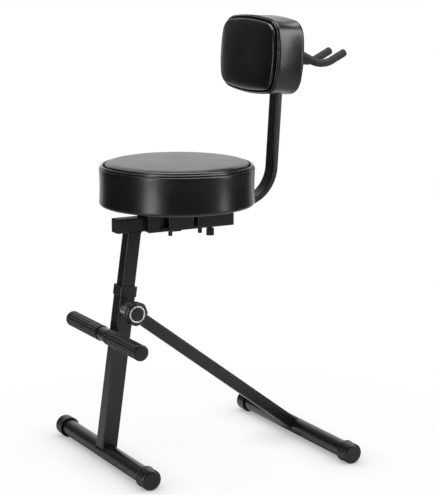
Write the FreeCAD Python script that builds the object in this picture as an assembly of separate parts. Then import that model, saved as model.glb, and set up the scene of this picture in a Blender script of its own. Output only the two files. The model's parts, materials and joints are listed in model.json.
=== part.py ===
import FreeCAD, Part
import math
import os

# Folding performer's stool with a padded round seat, a backrest on a bent flat tube,
# a hanger yoke behind the backrest and a ribbed footrest.
# Everything is drawn in millimetres with the leg's middle plane at X = 0, the front
# foot's axis at Y = 0 (the sitter faces -Y) and the floor at Z = 0.  On export all
# pieces move together, so that the origin lies on the floor under the middle.

# Clearances
SLIDE = 0.25          # each side of a telescoping or sliding fit
RUNNING = 0.08        # radial, between a turning hole and its pin
SEATED = 0.05         # between pieces that stay where they are pressed or welded
FACE_GAP = 0.1        # between flat faces that turn on each other
SOFT_GAP = 0.3        # round soft pieces

# Feet
FRONT_FOOT_LENGTH = 468.0
REAR_FOOT_LENGTH = 498.0
FOOT_TUBE_RADIUS = 19.0
FOOT_TUBE_WALL = 2.0
CAP_WALL = 5.0
CAP_LENGTH = 34.0
CAP_END = 5.0
CAP_ROUNDING = 4.0
CAP_FLAT = 0.6        # how deep the standing flat is cut into the cap
REAR_FOOT_REACH = 477.0

# Telescoping leg; "along" is measured up the leg from the front foot's axis
LEG_LEAN = 8.1        # degrees back from upright
LOWER_LEG = 37.0
LOWER_LEG_WALL = 1.5
TELESCOPE_GAP = 1.0   # between the two tubes, taken up by the collar and the glide
UPPER_LEG_WALL = 1.5
TUBE_CORNER = 3.0
COLLAR_OVER_HUB = 12.0
COLLAR_HEIGHT = 23.0
COLLAR_WALL = 2.5
COLLAR_LIP = 2.5
UPPER_INSERT = 150.0  # length of the upper tube below the collar's top
GLIDE_FOOT = 6.0
GLIDE_SHANK = 20.0

# Height clamp on the far side of the leg
HEIGHT_SCREW_BELOW = 15.0  # below the collar
HEIGHT_SCREW_RADIUS = 4.0
HEIGHT_NUT_SIZE = 16.0
HEIGHT_NUT_THICK = 6.0
HEIGHT_KNOB_WALL = 3.0
HEIGHT_KNOB_LENGTH = 11.0
HEIGHT_KNOB_SOCKET = 5.5
HEIGHT_KNOB_FLUTES = 10
HEIGHT_KNOB_FLUTE_RADIUS = 1.2

# Folding clutch between leg and strut
PIVOT_ALONG = 330.5
HUB_RADIUS = 16.5
HUB_INNER = 11.5
HUB_WASHER = 1.5
HUB_WASHER_INSET = 2.0
STUD_RADIUS = 6.0
STUD_BITE = 13.0      # length of the stud inside the knob
WASHER_RADIUS = 12.0
WASHER_THICK = 1.5

# Clutch knob
KNOB_LENGTH = 20.0
KNOB_RADIUS = 28.0
KNOB_NECK_RADIUS = 17.0
KNOB_NECK_LENGTH = 8.0
KNOB_EDGE = 2.0
KNOB_LOBES = 8
KNOB_SCALLOP_RADIUS = 14.0
KNOB_SCALLOP_DEPTH = 1.8
KNOB_INSERT_WALL = 3.0
KNOB_FLOOR = 3.5      # between the brass insert and the ring's seat
RING_OUTER = 19.2
RING_WIDTH = 3.7
RING_PROUD = 0.8
RING_DEPTH = 2.5
KNOB_CAP_DEPTH = 2.0
KNOB_CAP_CROWN = 0.8

# Strut
STRUT_WIDTH = 20.0
STRUT_HEIGHT = 28.0
STRUT_WALL = 1.5

# Footrest
REST_BELOW = 63.5     # below the clutch, along the leg
REST_LENGTH = 360.0
REST_RADIUS = 16.0
REST_WALL = 2.0
GRIP_TO_LEG = 0.5
GRIP_WALL = 1.0       # rubber under the ribs
GRIP_RIB = 1.0
GRIP_RIBS = 28
RIB_FLANK = 0.2       # shares of one rib's pitch
RIB_CREST = 0.4
GRIP_END = 4.0
GRIP_COLLAR = 5.0
GRIP_ROUNDING = 2.5
WELD_LEG = 4.0        # how far a weld stands off the leg
WELD_NEAR = 6.0       # its two ends along the leg, from the bar's middle
WELD_FAR = 12.0

# Seat beam, which is welded on the upper leg
BEAM = 32.0
BEAM_WALL = 1.5
BEAM_OVERHANG = 25.0  # ahead of the leg
BEAM_BELOW_FLAT = 2.25
PLUG_SHANK = 12.0
PLUG_FACE = 1.5
PLUG_INSET = 0.6

# Seat bracket
SEAT_FORWARD = 8.0    # room for the seat to slide forward
LEG_STOP_GAP = 3.0
POCKET_STOP_GAP = 0.9
CHANNEL_LENGTH = 216.0
CHANNEL_WALL = 2.5
CHANNEL_BEND = 3.0
CHANNEL_COVER = 2.0   # how far its sides reach below the beam
WINDOW_RISE = 6.0
WINDOW_DROP = 12.5
FRONT_WINDOW = 25.0
REAR_WINDOW = 10.0
WINDOW_TO_GUIDE = 1.0
GUIDE_SIDE = 10.2     # nylon beside the beam
FRONT_GUIDE_LENGTH = 25.0
REAR_GUIDE_LENGTH = 91.0
GUIDE_RISE = 1.0      # guides stop this far above the channel's lower edges
POCKET_WALL = 1.0     # nylon between the beam's pocket and the backrest screw
BRIDGE_BEHIND_WINDOW = 4.5
BRIDGE_LENGTH = 26.0
BRIDGE_LIP = 2.0

# Hand screws under the seat
REAR_SCREW_IN_GUIDE = 19.0
BACK_SCREW_BEHIND = 26.5
THUMB_SCREW_RADIUS = 3.0
THUMB_HEAD_RADIUS = 4.8
THUMB_HEAD_LENGTH = 12.0
THUMB_NECK = 2.5
THUMB_FLUTES = 8
THUMB_FLUTE_RADIUS = 0.9
BACK_SCREW_RADIUS = 4.0
BACK_KNOB_NECK_WALL = 1.5
BACK_KNOB_NECK = 9.0
BACK_KNOB_FLARE = 3.5
BACK_KNOB_LENGTH = 16.0
BACK_KNOB_SOCKET = 8.0  # length of the screw inside the knob's grip
BACK_KNOB_FLUTES = 8
BACK_KNOB_FLUTE_RADIUS = 1.6

# Seat
SEAT_BEHIND = 86.0    # from the bracket's front to the seat's middle
SEAT_RADIUS = 175.0
SEAT_BOTTOM = 574.0
SEAT_THICK = 90.0
SEAT_PANEL_RISE = 4.5  # the panel's edge stands this far above the rim
SEAT_CROWN = 4.0
SEAT_WAIST = 1.0      # how far the band draws in half way up
SEAT_EDGE = 5.0       # rounding of the lower edge
RIM_RADIUS = 6.0      # rolled rim round the top panel
GROOVE_DEPTH = 5.0
BOARD_INSET = 15.5
BOARD_THICK = 12.0
SEAT_BOLT_RADIUS = 3.0
SEAT_BOLT_HEAD_RADIUS = 6.0
SEAT_BOLT_HEAD = 4.0
SEAT_BOLT_BITE = 10.0
SEAT_BOLT_TO_SIDE = 1.5
SEAT_BOLT_AHEAD = 32.0  # from the rear guide to the rear pair of bolts

# Backrest tube
FLAT_WIDTH = 35.0
FLAT_DEPTH = 15.0
FLAT_WALL = 1.5
FLAT_START = 6.0      # from the rear guide's front face to the tube's end
BEND_OUT = 32.0       # from the bracket's rear end to the bend
BEND_RADIUS = 84.0
BACK_LEAN = 3.6       # degrees

# Backrest pad, measured on the upright from the end of the bend
PAD_ALONG = 257.0
PAD_WIDTH = 258.0
PAD_HEIGHT = 176.0
PAD_THICK = 70.0
PAD_CORNER = 44.0
PAD_SIDE_BOW = 210.0  # radius of the bowed sides
PAD_END_BOW = 700.0   # radius of the bowed top and bottom
PAD_BACK_INSET = 7.0
PAD_BACK_EASE = 1.75
PAD_WAIST = 1.2       # how far the boxing band draws in
PAD_RIM = 5.0
PAD_RIM_EASE = 1.6
PAD_RIM_DROP = 1.25
PAD_GROOVE_INSET = 10.0
PAD_GROOVE_DEPTH = 4.0
PAD_PANEL_GAP = 1.0   # from the groove's bottom to the panel's edge
PAD_PANEL_RISE = 7.0  # the panel's edge stands this far before the rim
PAD_PANEL_EDGE = 5.0
PAD_CROWN = 6.0
BACK_BOARD_INSET = 15.0
BACK_BOARD_THICK = 10.0
BACK_BOLT_RADIUS = 3.0
BACK_BOLT_HEAD_RADIUS = 6.0
BACK_BOLT_HEAD = 4.0
BACK_BOLT_BITE = 8.0
BACK_BOLT_TO_PLATE = 4.0
BACK_BOLT_TO_END = 20.0

# Hanger behind the backrest
HANGER_ABOVE = 10.0   # above the pad's middle
HANGER_PLATE_THICK = 4.0
HANGER_PLATE_CORNER = 7.5
HANGER_BOLT_RADIUS = 2.5
HANGER_BOLT_HEAD_RADIUS = 5.0
HANGER_BOLT_HEAD = 3.0
HANGER_BOLT_SPACING = 54.0
HANGER_BOLT_BITE = 10.0
HANGER_BOLT_TO_END = 11.0
BOSS_RADIUS = 11.0
BOSS_LENGTH = 8.0
YOKE_PIN_RADIUS = 5.0
YOKE_HUB_RADIUS = 10.0
YOKE_HUB_LENGTH = 14.0
YOKE_ROD_RADIUS = 5.5
YOKE_HALF_GAP = 31.0
YOKE_FALL = 24.5      # degrees below the pivot's axis
YOKE_RISE = 29.5      # degrees above it at the tips
YOKE_ARM = 47.5       # from the yoke's back bend to the dip's corner
YOKE_TIP = 71.0       # from the dip's corner to the foam's end
YOKE_DIP_RADIUS = 60.0
FOAM_WALL = 3.5
FOAM_END = 4.0
FOAM_START = 32.0     # degrees round the back bend where the foam begins

# Worked-out sizes and places on the legs
CAP_RADIUS = FOOT_TUBE_RADIUS + CAP_WALL
FOOT_AXIS = CAP_RADIUS - CAP_FLAT
LEAN = math.radians(LEG_LEAN)
UPPER_LEG = LOWER_LEG - 2 * LOWER_LEG_WALL - 2 * TELESCOPE_GAP
PIVOT_Y = PIVOT_ALONG * math.sin(LEAN)
PIVOT_Z = FOOT_AXIS + PIVOT_ALONG * math.cos(LEAN)
COLLAR_LOW = PIVOT_ALONG + HUB_RADIUS + COLLAR_OVER_HUB
COLLAR_TOP = COLLAR_LOW + COLLAR_HEIGHT
HEIGHT_SCREW_ALONG = COLLAR_LOW - HEIGHT_SCREW_BELOW
HEIGHT_KNOB_RADIUS = HEIGHT_SCREW_RADIUS + HEIGHT_KNOB_WALL
HUB_START = LOWER_LEG / 2
STRUT_NEAR = HUB_START + HUB_INNER + FACE_GAP + HUB_WASHER
STRUT_X = STRUT_NEAR + STRUT_WIDTH / 2
STRUT_FAR = STRUT_NEAR + STRUT_WIDTH
KNOB_BACK = STRUT_FAR + FACE_GAP + WASHER_THICK
KNOB_FRONT = KNOB_BACK + KNOB_LENGTH
KNOB_INSERT_RADIUS = STUD_RADIUS + KNOB_INSERT_WALL
KNOB_INSERT_LENGTH = KNOB_LENGTH - RING_DEPTH - KNOB_FLOOR
RING_INNER = RING_OUTER - RING_WIDTH
REST_ALONG = PIVOT_ALONG - REST_BELOW
REST_OUT = LOWER_LEG / 2 + SEATED + REST_RADIUS
REST_REACH = REST_ALONG * math.sin(LEAN) - REST_OUT * math.cos(LEAN)
REST_HEIGHT = FOOT_AXIS + REST_ALONG * math.cos(LEAN) + REST_OUT * math.sin(LEAN)
REST_BARE = LOWER_LEG + 2 * GRIP_TO_LEG
GRIP_ROOT = REST_RADIUS + GRIP_WALL
GRIP_RADIUS = GRIP_ROOT + GRIP_RIB

# Worked-out heights under the seat, from the seat's underside down
WEB_LOW = SEAT_BOTTOM - CHANNEL_WALL
FLAT_HIGH = WEB_LOW - SLIDE
FLAT_MIDDLE = FLAT_HIGH - FLAT_DEPTH / 2
FLAT_LOW = FLAT_HIGH - FLAT_DEPTH
BEAM_HIGH = FLAT_LOW - BEAM_BELOW_FLAT
BEAM_HEIGHT = BEAM_HIGH - BEAM / 2
BEAM_LOW = BEAM_HIGH - BEAM
CHANNEL_BOTTOM = BEAM_LOW - CHANNEL_COVER

# Worked-out places under the seat, from the leg back
LEG_HALF = UPPER_LEG / 2 / math.cos(LEAN)
LEG_TOP = (BEAM_LOW - FOOT_AXIS) * math.tan(LEAN)
BEAM_FRONT = LEG_TOP - LEG_HALF - BEAM_OVERHANG
CHANNEL_FRONT = LEG_TOP + LEG_HALF + SEAT_FORWARD + LEG_STOP_GAP
CHANNEL_REAR = CHANNEL_FRONT + CHANNEL_LENGTH
CHANNEL_WIDTH = BEAM + 2 * (SLIDE + GUIDE_SIDE + SEATED + CHANNEL_WALL)
FRONT_GUIDE_REAR = CHANNEL_FRONT + FRONT_GUIDE_LENGTH
REAR_GUIDE_FRONT = CHANNEL_REAR - REAR_GUIDE_LENGTH
FRONT_WINDOW_START = FRONT_GUIDE_REAR + WINDOW_TO_GUIDE
FRONT_WINDOW_END = FRONT_WINDOW_START + FRONT_WINDOW
REAR_WINDOW_END = REAR_GUIDE_FRONT - WINDOW_TO_GUIDE
REAR_WINDOW_START = REAR_WINDOW_END - REAR_WINDOW
FRONT_SCREW_REACH = FRONT_WINDOW_END + BRIDGE_BEHIND_WINDOW + BRIDGE_LENGTH / 2
REAR_SCREW_REACH = REAR_GUIDE_FRONT + REAR_SCREW_IN_GUIDE
BACK_SCREW_REACH = REAR_SCREW_REACH + BACK_SCREW_BEHIND
BACK_KNOB_NECK_RADIUS = BACK_SCREW_RADIUS + BACK_KNOB_NECK_WALL
BACK_KNOB_RADIUS = BACK_KNOB_NECK_RADIUS + BACK_KNOB_FLARE
BACK_KNOB_TOP = CHANNEL_BOTTOM + GUIDE_RISE - FACE_GAP
BACK_SCREW_LOW = BACK_KNOB_TOP - BACK_KNOB_NECK - BACK_KNOB_SOCKET
POCKET_END = BACK_SCREW_REACH - BACK_SCREW_RADIUS - RUNNING - POCKET_WALL
BEAM_REAR = POCKET_END - SEAT_FORWARD - POCKET_STOP_GAP - PLUG_FACE
SEAT_REACH = CHANNEL_FRONT + SEAT_BEHIND
BOARD_RADIUS = SEAT_RADIUS - BOARD_INSET
SEAT_BOLT_ROWS = ((FRONT_WINDOW_START + FRONT_WINDOW_END) / 2, REAR_GUIDE_FRONT - SEAT_BOLT_AHEAD)
SEAT_BOLT_SIDE = CHANNEL_WIDTH / 2 - CHANNEL_WALL - SEAT_BOLT_HEAD_RADIUS - SEAT_BOLT_TO_SIDE

# Worked-out places on the backrest
FLAT_FRONT = REAR_GUIDE_FRONT + FLAT_START
BEND_REACH = CHANNEL_REAR + BEND_OUT
TILT = math.radians(BACK_LEAN)
BEND_TOP_Y = BEND_REACH + BEND_RADIUS * math.cos(TILT)
BEND_TOP_Z = FLAT_MIDDLE + BEND_RADIUS - BEND_RADIUS * math.sin(TILT)
PAD_BACK = -FLAT_DEPTH / 2
HANGER_ALONG = PAD_ALONG + HANGER_ABOVE
HANGER_PLATE_HALF = HANGER_BOLT_SPACING / 2 + HANGER_BOLT_TO_END
BACK_BOLT_OUT = HANGER_ABOVE + HANGER_PLATE_HALF + BACK_BOLT_TO_PLATE + BACK_BOLT_HEAD_RADIUS
UPRIGHT = PAD_ALONG + BACK_BOLT_OUT + BACK_BOLT_TO_END
BOSS_BACK = FLAT_DEPTH / 2 + HANGER_PLATE_THICK + BOSS_LENGTH
YOKE_BACK = BOSS_BACK + SOFT_GAP + YOKE_HUB_LENGTH - YOKE_ROD_RADIUS
FOAM_RADIUS = YOKE_ROD_RADIUS + FOAM_WALL

X_AXIS = FreeCAD.Vector(1, 0, 0)
Y_AXIS = FreeCAD.Vector(0, 1, 0)
Z_AXIS = FreeCAD.Vector(0, 0, 1)


def point(x, y, z):
    return FreeCAD.Vector(x, y, z)


def block(x_span, y_span, z_span):
    """A box between two values on each axis."""
    corner = point(x_span[0], y_span[0], z_span[0])
    sizes = [span[1] - span[0] for span in (x_span, y_span, z_span)]
    return Part.makeBox(*sizes, corner)


def rod(start, direction, radius, length):
    return Part.makeCylinder(radius, length, start, direction)


def rounded_face(width, depth, corner):
    """A rectangle with round corners in the XY plane, centred on the origin."""
    wide = width / 2
    deep = depth / 2
    slant = corner * (1 - math.sqrt(0.5))
    edges = []
    for sx, sy in ((1, 1), (-1, 1), (-1, -1), (1, -1)):
        along_x = point(sx * (wide - corner), sy * deep, 0)
        middle = point(sx * (wide - slant), sy * (deep - slant), 0)
        along_y = point(sx * wide, sy * (deep - corner), 0)
        turn = (along_y, middle, along_x) if sx * sy > 0 else (along_x, middle, along_y)
        edges.append(turn)
    outline = []
    for here, following in zip(edges, edges[1:] + edges[:1]):
        outline.append(Part.Arc(*here).toShape())
        outline.append(Part.makeLine(here[2], following[0]))
    return Part.Face(Part.Wire(outline))


def bar(width, depth, corner, length, low=0.0):
    """A solid bar of rounded rectangular section along Z."""
    solid = rounded_face(width, depth, corner).extrude(Z_AXIS * length)
    solid.translate(Z_AXIS * low)
    return solid


def tube(width, depth, wall, length, low=0.0):
    """A rectangular tube along Z, with its corners rounded inside and out."""
    outside = bar(width, depth, TUBE_CORNER, length, low)
    hollow = bar(width - 2 * wall, depth - 2 * wall, TUBE_CORNER - wall, length, low)
    return outside.cut(hollow)


def turned(profile, start, direction):
    """A solid turned from (along, radius) points about an axis; ends lie on the axis."""
    wire = Part.makePolygon([point(radius, 0, along) for along, radius in profile])
    solid = Part.Face(wire).revolve(point(0, 0, 0), Z_AXIS, 360)
    turn = FreeCAD.Rotation(Z_AXIS, direction)
    solid.Placement = FreeCAD.Placement(start, turn)
    return solid


def on_leg(shape):
    """Stand a shape drawn along Z on the leaning leg's line."""
    shape.rotate(point(0, 0, 0), X_AXIS, -LEG_LEAN)
    shape.translate(Z_AXIS * FOOT_AXIS)
    return shape


def on_strut(shape):
    """Lay a shape drawn along Z, with Y as its height, on the strut's line."""
    fall = math.degrees(math.atan2(FOOT_AXIS - PIVOT_Z, REAR_FOOT_REACH - PIVOT_Y))
    shape.rotate(point(0, 0, 0), X_AXIS, fall - 90)
    shape.translate(point(STRUT_X, PIVOT_Y, PIVOT_Z))
    return shape


def on_back(shape):
    """Stand a shape drawn along Z on the backrest's leaning upright."""
    shape.rotate(point(0, 0, 0), X_AXIS, -BACK_LEAN)
    shape.translate(point(0, BEND_TOP_Y, BEND_TOP_Z))
    return shape


def joined(first, others):
    """Join touching or crossing solids into one clean solid."""
    return first.multiFuse(others).removeSplitter()


def fluted(solid, start, direction, radius, length, count, flute):
    """Cut evenly spaced round flutes along a knob's grip."""
    turn = FreeCAD.Rotation(Z_AXIS, direction)
    cutters = []
    for number in range(count):
        angle = 2 * math.pi * number / count
        offset = turn.multVec(point(radius * math.cos(angle), radius * math.sin(angle), 0))
        cutters.append(rod(start + offset, direction, flute, length))
    return solid.cut(cutters)


# Feet

def foot_tube(middle_x, reach, foot_length):
    length = foot_length - 2 * CAP_END
    start = point(middle_x - length / 2, reach, FOOT_AXIS)
    outside = rod(start, X_AXIS, FOOT_TUBE_RADIUS, length)
    return outside.cut(rod(start, X_AXIS, FOOT_TUBE_RADIUS - FOOT_TUBE_WALL, length))


def foot_cap(middle_x, reach, foot_length, side):
    """A rubber cup over a foot's end, with a flat to stand on."""
    end = point(middle_x + side * foot_length / 2, reach, FOOT_AXIS)
    inward = X_AXIS * -side
    cup = rod(end, inward, CAP_RADIUS, CAP_LENGTH)
    outer_edges = [edge for edge in cup.Edges if edge.Closed]
    rim = [e for e in outer_edges if abs(e.CenterOfMass.x - end.x) < CAP_END]
    cup = cup.makeFillet(CAP_ROUNDING, rim)
    socket = rod(end + inward * CAP_END, inward, FOOT_TUBE_RADIUS + SEATED, CAP_LENGTH)
    below = block(
        (min(end.x, end.x - side * CAP_LENGTH), max(end.x, end.x - side * CAP_LENGTH)),
        (reach - CAP_RADIUS, reach + CAP_RADIUS),
        (FOOT_AXIS - 2 * CAP_RADIUS, 0.0),
    )
    return cup.cut([socket, below])


# Leg

def lower_leg_tube():
    length = COLLAR_TOP - COLLAR_LIP
    leg = on_leg(tube(LOWER_LEG, LOWER_LEG, LOWER_LEG_WALL, length))
    start = point(-LOWER_LEG, 0, FOOT_AXIS)
    foot = rod(start, X_AXIS, FOOT_TUBE_RADIUS + SEATED, 2 * LOWER_LEG)
    middle = point(0, 0, HEIGHT_SCREW_ALONG)
    hole = rod(middle, X_AXIS * -1, HEIGHT_SCREW_RADIUS + SLIDE, LOWER_LEG)
    return leg.cut([foot, on_leg(hole)])


def leg_collar():
    """Moulded collar: a skirt round the lower tube and a lip that guides the upper one."""
    inside = LOWER_LEG + 2 * SEATED
    outside = LOWER_LEG + 2 * COLLAR_WALL
    collar = bar(outside, outside, TUBE_CORNER + COLLAR_WALL, COLLAR_HEIGHT, COLLAR_LOW)
    skirt = bar(inside, inside, TUBE_CORNER, COLLAR_HEIGHT - COLLAR_LIP, COLLAR_LOW)
    mouth = UPPER_LEG + 2 * SLIDE
    lip = bar(mouth, mouth, TUBE_CORNER, COLLAR_HEIGHT, COLLAR_LOW)
    return on_leg(collar.cut([skirt, lip]))


def upper_leg_tube():
    low = COLLAR_TOP - UPPER_INSERT
    reach_up = (BEAM_HIGH - FOOT_AXIS) / math.cos(LEAN) - low
    leg = on_leg(tube(UPPER_LEG, UPPER_LEG, UPPER_LEG_WALL, reach_up, low))
    above = block((-BEAM, BEAM), (0, BEAM_REAR), (BEAM_LOW, BEAM_HIGH + BEAM))
    return leg.cut(above)


def upper_leg_glide():
    """Plug in the upper tube's lower end, whose foot runs inside the lower tube."""
    low = COLLAR_TOP - UPPER_INSERT
    wide = LOWER_LEG - 2 * LOWER_LEG_WALL - 2 * SLIDE
    narrow = UPPER_LEG - 2 * UPPER_LEG_WALL - 2 * SEATED
    foot = bar(wide, wide, TUBE_CORNER - LOWER_LEG_WALL, GLIDE_FOOT, low - GLIDE_FOOT)
    shank = bar(narrow, narrow, TUBE_CORNER - UPPER_LEG_WALL, GLIDE_SHANK, low)
    return on_leg(joined(foot, [shank]))


def height_nut():
    half = HEIGHT_NUT_SIZE / 2
    face = -LOWER_LEG / 2
    nut = block(
        (face - HEIGHT_NUT_THICK, face),
        (-half, half),
        (HEIGHT_SCREW_ALONG - half, HEIGHT_SCREW_ALONG + half),
    )
    start = point(face, 0, HEIGHT_SCREW_ALONG)
    hole = rod(start, X_AXIS * -1, HEIGHT_SCREW_RADIUS + RUNNING, HEIGHT_NUT_THICK)
    return on_leg(nut.cut(hole))


def height_screw():
    """Clamp screw whose tip bears on the upper tube's side."""
    tip = -(UPPER_LEG / 2 + SLIDE)
    head = -(LOWER_LEG / 2 + HEIGHT_NUT_THICK + SLIDE)
    end = head - HEIGHT_KNOB_SOCKET
    screw = rod(point(tip, 0, HEIGHT_SCREW_ALONG), X_AXIS * -1, HEIGHT_SCREW_RADIUS, tip - end)
    return on_leg(screw)


def height_knob():
    head = -(LOWER_LEG / 2 + HEIGHT_NUT_THICK + SLIDE)
    start = point(head, 0, HEIGHT_SCREW_ALONG)
    out = X_AXIS * -1
    radius = HEIGHT_KNOB_RADIUS
    knob = rod(start, out, radius, HEIGHT_KNOB_LENGTH)
    knob = fluted(
        knob, start, out, radius, HEIGHT_KNOB_LENGTH, HEIGHT_KNOB_FLUTES, HEIGHT_KNOB_FLUTE_RADIUS
    )
    socket = rod(start, out, HEIGHT_SCREW_RADIUS + SEATED, HEIGHT_KNOB_SOCKET)
    return on_leg(knob.cut(socket))


# Clutch and strut

def clutch_inner():
    """Zinc hub half that is welded on the leg."""
    start = point(HUB_START, PIVOT_Y, PIVOT_Z)
    hub = rod(start, X_AXIS, HUB_RADIUS, HUB_INNER)
    return hub.cut(rod(start, X_AXIS, STUD_RADIUS + SEATED, HUB_INNER))


def clutch_washer():
    """Fibre friction washer between the hub halves."""
    start = point(STRUT_NEAR - HUB_WASHER, PIVOT_Y, PIVOT_Z)
    washer = rod(start, X_AXIS, HUB_RADIUS - HUB_WASHER_INSET, HUB_WASHER)
    return washer.cut(rod(start, X_AXIS, STUD_RADIUS + RUNNING, HUB_WASHER))


def clutch_outer():
    """Zinc hub half at the strut's upper end."""
    start = point(STRUT_NEAR, PIVOT_Y, PIVOT_Z)
    hub = rod(start, X_AXIS, HUB_RADIUS, STRUT_WIDTH)
    return hub.cut(rod(start, X_AXIS, STUD_RADIUS + RUNNING, STRUT_WIDTH))


def pivot_stud():
    start = point(HUB_START, PIVOT_Y, PIVOT_Z)
    return rod(start, X_AXIS, STUD_RADIUS, KNOB_BACK + STUD_BITE - HUB_START)


def strut_tube():
    """Flat tube, coped to the hub at the top and to the rear foot at the bottom."""
    length = math.hypot(REAR_FOOT_REACH - PIVOT_Y, PIVOT_Z - FOOT_AXIS)
    strut = on_strut(tube(STRUT_WIDTH, STRUT_HEIGHT, STRUT_WALL, length))
    hub = rod(point(STRUT_NEAR, PIVOT_Y, PIVOT_Z), X_AXIS, HUB_RADIUS + SEATED, STRUT_WIDTH)
    foot_start = point(STRUT_NEAR, REAR_FOOT_REACH, FOOT_AXIS)
    foot = rod(foot_start, X_AXIS, FOOT_TUBE_RADIUS + SEATED, STRUT_WIDTH)
    return strut.cut([hub, foot])


# Clutch knob

def knob_washer():
    start = point(STRUT_FAR + FACE_GAP, PIVOT_Y, PIVOT_Z)
    washer = rod(start, X_AXIS, WASHER_RADIUS, WASHER_THICK)
    return washer.cut(rod(start, X_AXIS, STUD_RADIUS + RUNNING, WASHER_THICK))


def knob_body():
    """Flared hand knob with shallow lobes, and a seat for the ring and cap in its face."""
    start = point(KNOB_BACK, PIVOT_Y, PIVOT_Z)
    profile = [
        (0, 0),
        (0, KNOB_NECK_RADIUS),
        (KNOB_NECK_LENGTH, KNOB_RADIUS - KNOB_EDGE),
        (KNOB_NECK_LENGTH + KNOB_EDGE, KNOB_RADIUS),
        (KNOB_LENGTH - KNOB_EDGE, KNOB_RADIUS),
        (KNOB_LENGTH, KNOB_RADIUS - KNOB_EDGE),
        (KNOB_LENGTH, 0),
        (0, 0),
    ]
    knob = turned(profile, start, X_AXIS)
    away = KNOB_RADIUS + KNOB_SCALLOP_RADIUS - KNOB_SCALLOP_DEPTH
    knob = fluted(knob, start, X_AXIS, away, KNOB_LENGTH, KNOB_LOBES, KNOB_SCALLOP_RADIUS)
    bore = rod(start, X_AXIS, KNOB_INSERT_RADIUS + SEATED, KNOB_INSERT_LENGTH)
    face = point(KNOB_FRONT - RING_DEPTH, PIVOT_Y, PIVOT_Z)
    seat = rod(face, X_AXIS, RING_OUTER + SEATED, RING_DEPTH)
    return knob.cut([bore, seat])


def knob_insert():
    start = point(KNOB_BACK, PIVOT_Y, PIVOT_Z)
    nut = rod(start, X_AXIS, KNOB_INSERT_RADIUS, KNOB_INSERT_LENGTH)
    return nut.cut(rod(start, X_AXIS, STUD_RADIUS + RUNNING, KNOB_INSERT_LENGTH))


def knob_ring():
    start = point(KNOB_FRONT - RING_DEPTH, PIVOT_Y, PIVOT_Z)
    high = RING_DEPTH + RING_PROUD
    ring = rod(start, X_AXIS, RING_OUTER, high).cut(rod(start, X_AXIS, RING_INNER, high))
    top_edges = [e for e in ring.Edges if e.Closed and e.CenterOfMass.x > KNOB_FRONT]
    return ring.makeFillet(RING_PROUD / 2, top_edges)


def knob_cap():
    """Plain domed cap in the middle of the knob."""
    start = point(KNOB_FRONT - RING_DEPTH, PIVOT_Y, PIVOT_Z)
    radius = RING_INNER - SEATED
    dome = (radius ** 2 + KNOB_CAP_CROWN ** 2) / (2 * KNOB_CAP_CROWN)
    centre = point(start.x + KNOB_CAP_DEPTH + KNOB_CAP_CROWN - dome, PIVOT_Y, PIVOT_Z)
    cap = rod(start, X_AXIS, radius, KNOB_CAP_DEPTH + KNOB_CAP_CROWN)
    return cap.common(Part.makeSphere(dome, centre))


# Footrest

def footrest_bar():
    length = REST_LENGTH - 2 * GRIP_END
    start = point(-length / 2, REST_REACH, REST_HEIGHT)
    outside = rod(start, X_AXIS, REST_RADIUS, length)
    hollow = rod(start, X_AXIS, REST_RADIUS - REST_WALL, length)
    return outside.cut(hollow)


def footrest_weld():
    """The two fillet welds between the bar's middle and the leg's front face."""
    face = -LOWER_LEG / 2
    half = LOWER_LEG / 2 - TUBE_CORNER
    start = point(-LOWER_LEG / 2, REST_REACH, REST_HEIGHT)
    around = rod(start, X_AXIS, REST_RADIUS + SEATED, LOWER_LEG)
    beads = []
    for side in (-1, 1):
        near, far = sorted((REST_ALONG + side * WELD_NEAR, REST_ALONG + side * WELD_FAR))
        bead = on_leg(block((-half, half), (face - WELD_LEG, face), (near, far)))
        beads.append(bead.cut(around))
    return Part.makeCompound(beads)


def footrest_grip(side):
    """Rubber sleeve with lengthwise ribs, closed at its outer end."""
    inner = side * REST_BARE / 2
    outer = side * REST_LENGTH / 2
    outward = X_AXIS * side
    pitch = 2 * math.pi / GRIP_RIBS
    one_rib = (
        (0.0, GRIP_ROOT),
        (RIB_FLANK, GRIP_RADIUS),
        (RIB_FLANK + RIB_CREST, GRIP_RADIUS),
        (2 * RIB_FLANK + RIB_CREST, GRIP_ROOT),
    )
    corners = []
    for rib in range(GRIP_RIBS):
        for share, radius in one_rib:
            angle = (rib + share) * pitch
            y = REST_REACH + radius * math.cos(angle)
            z = REST_HEIGHT + radius * math.sin(angle)
            corners.append(point(inner, y, z))
    section = Part.Face(Part.makePolygon(corners + corners[:1]))
    ribbed = section.extrude(X_AXIS * (outer - inner - side * GRIP_END))
    collar = rod(point(inner, REST_REACH, REST_HEIGHT), outward, GRIP_RADIUS, GRIP_COLLAR)
    end = rod(point(outer, REST_REACH, REST_HEIGHT), outward * -1, GRIP_RADIUS, GRIP_END + GRIP_COLLAR)
    round_edges = [e for e in end.Edges if e.Closed and abs(e.CenterOfMass.x - outer) < GRIP_END]
    end = end.makeFillet(GRIP_ROUNDING, round_edges)
    sleeve = joined(ribbed, [collar, end])
    socket = rod(
        point(inner, REST_REACH, REST_HEIGHT), outward, REST_RADIUS + SEATED, abs(outer - inner) - GRIP_END
    )
    return sleeve.cut(socket)


# Seat beam

def level(shape, reach, height):
    """Turn a shape drawn along Z so that it runs back along Y at a height."""
    shape.rotate(point(0, 0, 0), X_AXIS, -90)
    shape.translate(point(0, reach, height))
    return shape


def seat_beam():
    return level(tube(BEAM, BEAM, BEAM_WALL, BEAM_REAR - BEAM_FRONT), BEAM_FRONT, BEAM_HEIGHT)


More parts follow.
